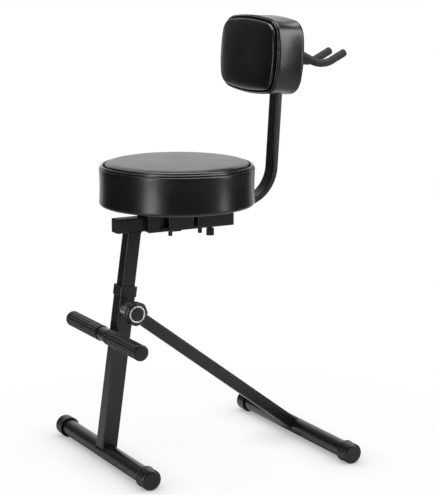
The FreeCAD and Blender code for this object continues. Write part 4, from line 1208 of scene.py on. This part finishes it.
def upright_axes() -> tuple[Vector, Vector]:
    """Directions along the yoke's pivot and up the backrest's leaning upright.

    Returns:
        The backward direction and the upward one.
    """
    back = joint_axis("yoke_swivel")
    return back, ALONG_X.cross(back)


def backrest_pad() -> BoxedCushion:
    """The backrest pad on its leaning upright.

    Returns:
        The cushion, ready to build.
    """
    back, up = upright_axes()
    boss_back = 0.0195
    hanger_above = 0.010
    pad_back = 0.0075
    middle = joint_place("yoke_swivel") - back * (boss_back + pad_back) - up * hanger_above
    turn = Matrix((ALONG_X, up, -back)).transposed().to_4x4()
    return BoxedCushion(
        name="backrest_cover", node="backrest_pad", body=Body.BACKREST, arcs=PadOutline().arcs(),
        place=Matrix.Translation(middle) @ turn, thick=0.070, panel_rise=0.0095, crown=0.0030,
        waist=0.0014, tuck=0.0145, fill=0.8, groove=0.0086, panel_edge=0.0065, roll=0.0032,
        welt_radius=0.0024, welt_inset=0.0048, swell_cap=0.0022,
    )


# Footrest, feet and knobs

@dataclass
class FootrestGrips:
    """Ribbed rubber sleeves on the footrest bar."""

    ribs: int = 18
    rib: float = 0.00180
    root: float = 0.0166
    crest: float = 0.018
    bore: float = 0.0161
    bore_depth: float = 0.030
    collar: float = 0.005
    slope: float = 0.001
    end_ring: float = 0.008
    end_rounding: float = 0.0015
    end_drop: float = 0.0035
    rib_start: float = 0.0035
    rib_into_end: float = 0.0005
    edge: float = 0.0012
    points_round: int = 96

    def build(self) -> None:
        """Make both sleeves."""
        for side in Side:
            self.sleeve(side)

    def sleeve(self, side: Side) -> None:
        """One sleeve with a collar at its inner end and a rounded outer end.

        Args:
            side: Which end of the bar it covers.
        """
        node = "footrest_grip_" + side.name.lower()
        middle = middle_of(node)
        inner = inner_end(node, side)
        length = width_of(node)
        profile = rounded(
            [
                (self.bore_depth, self.bore), (0.0, self.bore), (0.0, self.crest), (self.collar, self.crest),
                (self.collar + self.slope, self.root), (length - self.end_ring - self.slope, self.root),
                (length - self.end_ring, self.crest), (length - self.end_rounding, self.crest),
                (length, self.crest - self.end_drop), (length, CLOSED_TIP),
            ],
            self.edge,
        )
        origin = Vector((inner, middle.y, middle.z))
        rings = turned_rings(profile, origin, ALONG_X * side.value, self.points_round)
        piece = lofted("grip_" + side.name.lower(), rings)
        reaches = (self.rib_start, length - self.end_ring + self.rib_into_end)
        ends = sorted(inner + side.value * reach for reach in reaches)
        RIBS.apply(
            piece, RUBBER, Count=self.ribs, Radius=self.crest - self.rib, Rib=self.rib,
            From=ends[0], To=ends[1], Centre=(0.0, middle.y, middle.z),
        )
        dress(piece, RUBBER, Body.BASE, (node,))


@dataclass
class FootCaps:
    """Rubber cups on the ends of both foot tubes."""

    wall: float = 0.005
    lip: float = 0.0008
    lip_length: float = 0.0035
    lip_slope: float = 0.0007
    bore_depth: float = 0.012
    shoulder: float = 0.004
    shoulder_drop: float = 0.0032
    end_slope: float = 0.001
    end_drop: float = 0.0064
    groove: float = 0.0006
    groove_starts: tuple[float, float] = (0.0105, 0.0175)
    groove_side: float = 0.0005
    groove_width: float = 0.0022
    edge: float = 0.0014
    points_round: int = 96

    def build(self) -> None:
        """Make the four caps."""
        for place, body in (("front", Body.BASE), ("rear", Body.STRUT)):
            for side in Side:
                self.cap(place, side, body)

    def cap(self, place: str, side: Side, body: Body) -> None:
        """One cap with a lip, two shallow grooves and a flat to stand on.

        Args:
            place: Front or rear foot.
            side: Which end of the foot.
            body: The body that carries it.
        """
        end = f"{place}_{side.name.lower()}"
        node = f"{place}_cap_{side.name.lower()}"
        low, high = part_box(node)
        radius = (high.y - low.y) / 2
        length = width_of(node)
        bore = radius - self.wall + SLIP
        shell = radius - self.lip
        corners = [
            (self.bore_depth, bore), (0.0, bore), (0.0, radius), (self.lip_length, radius),
            (self.lip_length + self.lip_slope, shell),
        ]
        for start in self.groove_starts:
            stop = start + self.groove_width
            deep = shell - self.groove
            corners += [
                (start, shell), (start + self.groove_side, deep),
                (stop - self.groove_side, deep), (stop, shell),
            ]
        corners += [
            (length - self.shoulder, shell), (length - self.end_slope, shell - self.shoulder_drop),
            (length, shell - self.end_drop), (length, CLOSED_TIP),
        ]
        origin = Vector((inner_end(node, side), (low.y + high.y) / 2, high.z - radius))
        profile = rounded(corners, self.edge)
        rings = turned_rings(profile, origin, ALONG_X * side.value, self.points_round)
        rings[..., 2] = np.maximum(rings[..., 2], low.z)
        dress(lofted("cap_" + end, rings), RUBBER, body, (node,))


@dataclass
class ClutchKnob:
    """Lobed hand knob with a bright ring and a plain domed cap."""

    lobes: int = 8
    depth: float = 0.0014
    lobes_from: float = 0.002
    radius: float = 0.0280
    bore: float = 0.0065
    bore_depth: float = 0.002
    neck: float = 0.0170
    neck_length: float = 0.006
    neck_flare: float = 0.001
    shoulder_at: float = 0.009
    shoulder_drop: float = 0.0005
    face_run: float = 0.004
    face_drop: float = 0.0045
    face_rise: float = 0.0003
    seat_lip: float = 0.0006
    seat_edge: float = 0.0002
    edge: float = 0.0024
    ring_outer: float = 0.0192
    ring_width: float = 0.0037
    ring_proud: float = 0.0010
    ring_edge: float = 0.0009
    seat_depth: float = 0.0025
    cap_side: float = 0.0016
    cap_dome: float = 0.0012
    dome_power: float = 0.6
    dome_steps: int = 10
    points_round: int = 192
    cap_points: int = 96

    def build(self) -> None:
        """Make the knob, its ring and its cap."""
        origin = joint_place("clutch_knob_turn")
        origin.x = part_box("knob_body")[0].x
        length = width_of("knob_body")
        self.body_piece(origin, length)
        self.ring(origin, length)
        self.cap(origin, length)

    def body_piece(self, origin: Vector, length: float) -> None:
        """Knob body whose lobes fade towards its neck and face.

        Args:
            origin: Middle of the knob's back face.
            length: Length of the knob.
        """
        seat = self.ring_outer + SLIP
        profile = rounded(
            [
                (self.bore_depth, self.bore), (0.0, self.bore), (0.0, self.neck),
                (self.neck_length, self.neck + self.neck_flare),
                (self.shoulder_at, self.radius - self.shoulder_drop),
                (length - self.face_run, self.radius), (length, self.radius - self.face_drop),
                (length + self.face_rise, seat + self.seat_lip), (length - self.seat_edge, seat),
                (length - self.seat_depth, seat), (length - self.seat_depth, CLOSED_TIP),
            ],
            self.edge,
        )
        rings = turned_rings(profile, origin, ALONG_X, self.points_round)
        wave = 0.5 - 0.5 * np.cos(self.lobes * round_angles(self.points_round))
        start = seat + self.lobes_from
        centre = np.array(origin)[1:]
        for ring, (_, radius) in zip(rings, profile):
            outer = max(0.0, (radius - start) / (self.radius - start))
            shrink = 1.0 - self.depth * outer * wave / radius
            ring[:, 1:] = centre + (ring[:, 1:] - centre) * shrink[:, None]
        dress(lofted("clutch_knob_body", rings), PLASTIC, Body.CLUTCH_KNOB, ("knob_body",))

    def ring(self, origin: Vector, length: float) -> None:
        """Bright ring with rounded edges.

        Args:
            origin: Middle of the knob's back face.
            length: Length of the knob.
        """
        low = length - self.seat_depth
        top = length + self.ring_proud
        inner = self.ring_outer - self.ring_width
        corners = [(low, self.ring_outer), (top, self.ring_outer), (top, inner), (low, inner)]
        rings = turned_rings(rounded(corners, self.ring_edge), origin, ALONG_X, self.points_round)
        dress(lofted("clutch_knob_ring", rings, True), BRIGHT, Body.CLUTCH_KNOB, ("knob_ring",))

    def cap(self, origin: Vector, length: float) -> None:
        """Plain domed cap inside the ring.

        Args:
            origin: Middle of the knob's back face.
            length: Length of the knob.
        """
        radius = self.ring_outer - self.ring_width - SLIP
        low = length - self.seat_depth
        shoulder = low + self.cap_side
        profile = [(low, radius), (shoulder, radius)]
        for step in range(1, self.dome_steps):
            turn = math.radians(90.0 * step / self.dome_steps)
            height = shoulder + self.cap_dome * math.sin(turn)
            profile.append((height, radius * math.cos(turn) ** self.dome_power))
        profile.append((shoulder + self.cap_dome, CLOSED_TIP))
        rings = turned_rings(profile, origin, ALONG_X, self.cap_points)
        dress(lofted("clutch_knob_cap", rings), PLASTIC, Body.CLUTCH_KNOB, ("knob_cap",))


# Yoke, welds and bolts

@dataclass
class YokeFoam:
    """Foam sleeves over the two dipped arms of the hanger yoke."""

    half_gap: float = 0.031
    fall: float = 24.5
    rise: float = 29.5
    arm: float = 0.0475
    tip: float = 0.071
    dip_radius: float = 0.060
    start_angle: float = 32.0
    behind_pivot: float = 0.0088
    radius: float = 0.0090
    bore: float = 0.0056
    end: float = 0.0050
    unevenness: float = 0.00012
    waves: int = 4
    wave_per_m: float = 190.0
    bend_steps: int = 24
    arm_steps: int = 8
    dip_steps: int = 28
    tip_steps: int = 24
    path_steps: int = 90
    dome_steps: int = 9
    dome_turn: tuple[float, float] = (0.15, 1.5)
    points_round: int = 40

    def build(self) -> None:
        """Make both sleeves."""
        for side in Side:
            self.sleeve(side)

    def centre_line(self, side: Side) -> np.ndarray:
        """Points along one arm, from the back bend to the tip.

        Args:
            side: Which arm.

        Returns:
            Positions in the frame.
        """
        fall = math.radians(self.fall)
        rise = math.radians(self.rise)
        down = np.array([0.0, math.cos(fall), -math.sin(fall)])
        up = np.array([0.0, math.cos(rise), math.sin(rise)])
        across = np.array([float(side.value), 0.0, 0.0])
        line = []
        for angle in np.radians(np.linspace(self.start_angle, 90.0, self.bend_steps)):
            line.append(self.half_gap * (across * math.sin(angle) + down * (1 - math.cos(angle))))
        corner = line[-1] + down * self.arm
        half_turn = (fall + rise) / 2
        tangent = self.dip_radius * math.tan(half_turn)
        shares = np.linspace(0.1, 0.9, self.arm_steps)
        line += [line[-1] + down * (self.arm - tangent) * t for t in shares]
        middle = (rise - fall) / 2
        centre_out = self.dip_radius / math.cos(half_turn)
        centre = corner + np.array([0.0, -math.sin(middle), math.cos(middle)]) * centre_out
        for turn in np.linspace(-fall, rise, self.dip_steps):
            line.append(centre - np.array([0.0, -math.sin(turn), math.cos(turn)]) * self.dip_radius)
        shares = np.linspace(0.05, 1.0, self.tip_steps)
        line += [corner + up * (tangent + (self.tip - tangent) * t) for t in shares]
        back, top = upright_axes()
        basis = np.array([tuple(ALONG_X), tuple(back), tuple(top)])
        pivot = np.array(joint_place("yoke_swivel") + back * self.behind_pivot)
        return np.array(line) @ basis + pivot

    def sleeve(self, side: Side) -> None:
        """One sleeve with a domed tip and a cut inner end.

        Args:
            side: Which arm.
        """
        line = self.centre_line(side)
        run = np.concatenate([[0.0], np.cumsum(np.linalg.norm(np.diff(line, axis=0), axis=1))])
        dome_from = run[-1] - self.end
        dome = run[-1] - self.end * (1 - np.sin(np.linspace(*self.dome_turn, self.dome_steps)))
        fine = np.concatenate([np.linspace(0.0, dome_from, self.path_steps), dome])
        path = np.column_stack([np.interp(fine, run, line[:, axis]) for axis in range(3)])
        heading = np.gradient(path, axis=0)
        heading /= np.linalg.norm(heading, axis=1, keepdims=True)
        phases = np.random.default_rng(SEED).uniform(0.0, FULL_TURN, self.waves)
        turn = round_angles(self.points_round)
        rings = []
        side_way = np.array(ALONG_X)
        for place, ahead, along in zip(path, heading, fine):
            side_way = side_way - ahead * side_way.dot(ahead)
            side_way /= np.linalg.norm(side_way)
            lift = np.cross(ahead, side_way)
            past = max(0.0, along - dome_from) / self.end
            shrink = math.sqrt(max(1.0 - past ** 2, 0.0))
            wobble = sum(
                np.sin(k * turn + self.wave_per_m * k * along + phase) for k, phase in enumerate(phases, 1)
            )
            reach = shrink * (self.radius + self.unevenness * wobble)
            across = np.outer(reach * np.cos(turn), side_way)
            rings.append(place + across + np.outer(reach * np.sin(turn), lift))
        rings.insert(0, path[0] + (rings[0] - path[0]) * (self.bore / self.radius))
        sleeve = lofted("yoke_sleeve_" + side.name.lower(), np.array(rings))
        dress(sleeve, FOAM, Body.YOKE, ("yoke_foam_" + side.name.lower(),))


@dataclass
class WeldBeads:
    """Weld beads where the leg, the strut and the beam meet other tubes."""

    bead: float = 0.0021
    pitch: float = 0.0019
    corner: float = 0.0030
    strut_half_height: float = 0.014
    steps: int = 14

    def build(self) -> None:
        """Lay the three beads."""
        half = width_of("lower_leg_tube") / 2
        leg = self.coped("lower_leg_tube", "front_foot_tube", joint_axis("leg_height"), half, half)
        self.lay("leg_weld", leg, Body.BASE)
        ahead = joint_place("strut_fold") - middle_of("rear_foot_tube")
        ahead.x = 0.0
        half = width_of("strut_tube") / 2
        strut = self.coped("strut_tube", "rear_foot_tube", ahead.normalized(), half, self.strut_half_height)
        self.lay("strut_weld", strut, Body.STRUT)
        self.lay("beam_weld", self.leg_under_beam(), Body.UPPER_LEG)

    def outline(self, wide: float, deep: float) -> np.ndarray:
        """Rounded rectangle of a tube's section.

        Args:
            wide: Half of its width.
            deep: Half of its depth.

        Returns:
            Points round the section.
        """
        points = []
        for quarter, (sx, sy) in enumerate(((1, 1), (-1, 1), (-1, -1), (1, -1))):
            for step in range(self.steps):
                turn = math.radians(90.0 * (quarter + step / (self.steps - 1)))
                x = sx * (wide - self.corner) + self.corner * math.cos(turn)
                y = sy * (deep - self.corner) + self.corner * math.sin(turn)
                points.append((x, y))
        return np.array(points)

    def coped(self, tube: str, foot: str, ahead: Vector, wide: float, deep: float) -> np.ndarray:
        """Line where a tube's end meets a round foot tube.

        Args:
            tube: The coped tube's node.
            foot: The foot tube's node.
            ahead: Direction from the foot's axis along the tube.
            wide: Half of the tube's width along X.
            deep: Half of its depth.

        Returns:
            Points along the line.
        """
        low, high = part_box(foot)
        radius = (high.z - low.z) / 2
        start = (low + high) / 2
        start.x = middle_of(tube).x
        flat = self.outline(wide, deep)
        along = np.sqrt(radius ** 2 - flat[:, 1] ** 2)
        axes = np.array([tuple(ALONG_X), tuple(ALONG_X.cross(ahead)), tuple(ahead)])
        return np.array(start) + np.column_stack([flat, along]) @ axes

    def leg_under_beam(self) -> np.ndarray:
        """Line round the upper leg's top, under the beam.

        Returns:
            Points along the line.
        """
        lean = joint_axis("leg_height")
        half = width_of("upper_leg_tube") / 2
        foot = middle_of("front_foot_tube")
        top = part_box("seat_beam")[0].z
        reach = foot.y + (top - foot.z) * lean.y / lean.z
        flat = self.outline(half, half / lean.z)
        middle = np.array((middle_of("upper_leg_tube").x, reach, top))
        return middle + np.column_stack([flat, np.zeros(len(flat))])

    def lay(self, name: str, line: np.ndarray, body: Body) -> None:
        """Lay a bead along a closed line.

        Args:
            name: The bead's name.
            line: Points along the line.
            body: The body that carries it.
        """
        bead = WELDS.apply(edge_line(name, line, True), POWDER_COAT, Pitch=self.pitch, Bead=self.bead)
        dress(bead, POWDER_COAT, body)


@dataclass
class BackBolts:
    """Hexagon bolts behind the backrest: two for the pad and two for the hanger."""

    pad_head: float = 0.0058
    pad_height: float = 0.0040
    pad_spread: float = 0.058
    pad_below: float = 0.010
    pad_ahead: float = 0.012
    hanger_head: float = 0.0048
    hanger_height: float = 0.0030
    hanger_spread: float = 0.027
    hanger_ahead: float = 0.008
    washer_middle: float = 0.15   # share of the height
    head_share: float = 0.8        # of the height
    washer_share: float = 1.05     # of the head

    def build(self) -> None:
        """Make the bolt heads."""
        pad = [(self.pad_ahead, sign * self.pad_spread - self.pad_below) for sign in (-1, 1)]
        hanger = [(self.hanger_ahead, sign * self.hanger_spread) for sign in (-1, 1)]
        self.pair("pad_bolt_heads", "backrest_bolts", pad, self.pad_head, self.pad_height)
        self.pair("hanger_bolt_heads", "hanger_bolts", hanger, self.hanger_head, self.hanger_height)

    def pair(self, name: str, node: str, places: Profile, head: float, height: float) -> None:
        """One pair of bolt heads on the upright.

        Args:
            name: The piece's name.
            node: The frame node it stands for.
            places: How far ahead of and above the yoke's pivot each bolt sits.
            head: Radius over the hexagon's corners.
            height: Height of a head with its washer.
        """
        back, up = upright_axes()
        pivot = joint_place("yoke_swivel") + back * height * self.washer_middle
        points = np.array([tuple(pivot - back * ahead + up * rise) for ahead, rise in places])
        heads = BOLTS.apply(
            edge_line(name, points, False), STEEL, Head=head, Height=height * self.head_share,
            Washer=head * self.washer_share, Axis=tuple(back),
        )
        dress(heads, STEEL, Body.BACKREST, (node,))


# Camera and studio

@dataclass(frozen=True)
class Softbox:
    """A rectangular soft light that points at the stool's middle."""

    name: str
    degrees_right: float   # from the camera, seen from above
    away: float
    above: float
    size: tuple[float, float]
    watts: float


@dataclass
class Studio:
    """Camera at the photograph's viewing angle, pale floor and soft light."""

    azimuth: float = 61.27
    elevation: float = 11.44
    camera_at: Triple = (3.3172, -1.8395, 1.2366)
    lens: float = 123.55
    aim: Triple = (0.0, 0.0, 0.55)
    softboxes: tuple[Softbox, ...] = (
        Softbox("overhead", 0.0, -0.3, 2.4, (2.2, 2.2), 80.0),
        Softbox("left_box", -37.0, 2.6, 0.25, (0.8, 1.7), 25.0),
        Softbox("right_box", 71.0, 2.6, 0.45, (0.42, 1.6), 16.0),
        Softbox("high_box", 71.0, 2.2, 1.8, (1.3, 1.5), 40.0),
    )
    backdrop_from: float = -0.66
    backdrop_by: float = -0.86
    room: float = 0.10
    floor_half: float = 14.0
    paper: tuple[float, float] = (0.58, 0.62)
    dark: float = 0.10
    white_from: float = 0.35
    white_by: float = 0.90
    near_white: float = 0.93
    # Reach and darkest tone of the painted contact shadow in the floor's white glow
    painted_shadow_reach: float = 0.09
    painted_shadow_tone: float = 0.30
    dark_from: float = 1.8
    dark_by: float = 2.6

    def level_way(self, degrees_right: float) -> Vector:
        """Level direction from the object, turned from the camera's direction to its right."""
        turn = math.radians(self.azimuth + degrees_right)
        return Vector((math.sin(turn), -math.cos(turn), 0.0))

    def stand(self, made: bpy.types.Object, at: Vector, forward: Vector) -> None:
        """Place a camera or lamp.

        Args:
            made: The object to place.
            at: Where it stands.
            forward: Where it looks.
        """
        made.location = at
        made.rotation_mode = "QUATERNION"
        made.rotation_quaternion = forward.to_track_quat("-Z", "Y")
        bpy.context.scene.collection.objects.link(made)

    def camera(self) -> None:
        """Place the camera."""
        tilt = math.radians(self.elevation)
        data = bpy.data.cameras.new("camera")
        data.lens = self.lens
        data.sensor_width = 36.0
        data.clip_end = 100.0
        camera = bpy.data.objects.new("camera", data)
        forward = -self.level_way(0.0) * math.cos(tilt) - UP * math.sin(tilt)
        self.stand(camera, Vector(self.camera_at), forward)
        bpy.context.scene.camera = camera

    def lamps(self) -> None:
        """One softbox overhead, a tall one at each side of the camera and one high on the right."""
        aim = Vector(self.aim)
        for box in self.softboxes:
            data = bpy.data.lights.new(box.name, "AREA")
            data.shape = "RECTANGLE"
            data.size, data.size_y = box.size
            data.energy = box.watts
            at = aim + self.level_way(box.degrees_right) * box.away + UP * box.above
            self.stand(bpy.data.objects.new(box.name, data), at, aim - at)

    def sees_white(self, graph: Graph, way: bpy.types.NodeSocket) -> bpy.types.NodeSocket:
        """Where a ray sees the white surroundings: the camera always, a mirrored ray only at the back.

        Args:
            graph: The graph to add to.
            way: Socket of the direction from the object.

        Returns:
            A mask from 0 to 1.
        """
        path = graph.add("ShaderNodeLightPath").outputs
        mirrored = graph.math("MAXIMUM", path["Is Glossy Ray"], path["Is Transmission Ray"])
        facing = graph.vector("DOT_PRODUCT", way, self.level_way(0.0)).outputs["Value"]
        at_back = graph.span(facing, self.backdrop_from, self.backdrop_by, 0.0, 1.0)
        return graph.math("MAXIMUM", path["Is Camera Ray"], graph.math("MULTIPLY", mirrored, at_back))

    def world(self) -> None:
        """White backdrop for what sees it, and a dim room that lights the object."""
        world = bpy.data.worlds.new("studio")
        world.use_nodes = True
        bpy.context.scene.world = world
        graph = Graph(world.node_tree)
        world.node_tree.nodes.clear()
        way = graph.add("ShaderNodeTexCoord").outputs["Generated"]
        strength = graph.span(self.sees_white(graph, way), 0.0, 1.0, self.room, 1.0)
        light = graph.add("ShaderNodeBackground", Color=WHITE, Strength=strength)
        outlet = graph.add("ShaderNodeOutputWorld")
        graph.feed(outlet.inputs["Surface"], light.outputs[0])

    def floor_material(self) -> bpy.types.Material:
        """Pale paper that keeps the shadows near the object, turns white further out and has a painted contact
        shadow.

        Returns:
            The material.
        """
        made = bpy.data.materials.new("pale_floor")
        made.use_nodes = True
        made.node_tree.nodes.clear()
        graph = Graph(made.node_tree)
        place = graph.add("ShaderNodeTexCoord").outputs["Object"]
        away = graph.vector("LENGTH", place).outputs["Value"]
        seen = self.sees_white(graph, graph.vector("NORMALIZE", place).outputs[0])
        light, pale, dark = ((tone, tone, tone, 1.0) for tone in (*self.paper, self.dark))
        paper = graph.mix(graph.noise(place, 40.0, 5.0).outputs[0], light, pale)
        tone = graph.mix(graph.span(away, self.dark_from, self.dark_by, 0.0, 1.0), paper, dark)
        matte = graph.add("ShaderNodeBsdfDiffuse", Color=tone)
        # Painted contact shadow: ambient occlusion darkens the floor's white glow where the stool stands close
        corner = graph.add("ShaderNodeAmbientOcclusion", {"samples": 8}, Distance=self.painted_shadow_reach)
        painted_contact_shadow = graph.span(corner.outputs["AO"], 0.0, 1.0, self.painted_shadow_tone, 1.0)
        white = graph.add("ShaderNodeEmission", Color=WHITE, Strength=painted_contact_shadow)
        share = graph.span(away, self.white_from, self.white_by, self.near_white, 1.0, "SMOOTHSTEP")
        blend = graph.add("ShaderNodeMixShader", Fac=graph.math("MULTIPLY", share, seen))
        graph.feed(blend.inputs[1], matte.outputs[0])
        graph.feed(blend.inputs[2], white.outputs[0])
        outlet = graph.add("ShaderNodeOutputMaterial")
        graph.feed(outlet.inputs["Surface"], blend.outputs[0])
        return made

    def floor(self) -> None:
        """Lay the floor."""
        half = self.floor_half
        corners = np.array([(-half, -half, 0), (half, -half, 0), (half, half, 0), (-half, half, 0)], float)
        floor = mesh_object("floor", corners, [(0, 1, 2, 3)], smooth=False)
        floor.data.materials.append(self.floor_material())

    def build(self) -> None:
        """Set up camera, lamps, world and floor."""
        self.camera()
        self.lamps()
        self.world()
        self.floor()
        bpy.context.scene.view_settings.view_transform = "Standard"


def dress_frame_nodes() -> None:
    """Give every frame node the finish of its record slot."""
    slots = {entry["node"]: Slot(entry["material_slot"]) for entry in frame["record"]["subparts"]}
    for name, node in frame["nodes"].items():
        finish = CAD_FINISH[slots[name]]
        node.data.materials.clear()
        node.data.materials.append(MATERIALS[finish.name])


def main() -> None:
    """Build and dress the stool, then the studio round it."""
    logging.basicConfig(level=logging.INFO, format="%(name)s %(message)s")
    dress_frame_nodes()
    assemblies = (
        seat_cushion(), backrest_pad(), FootrestGrips(), FootCaps(), ClutchKnob(), YokeFoam(), WeldBeads(),
        BackBolts(),
    )
    for assembly in assemblies:
        assembly.build()
    Studio().build()


if __name__ == "__main__":
    main()
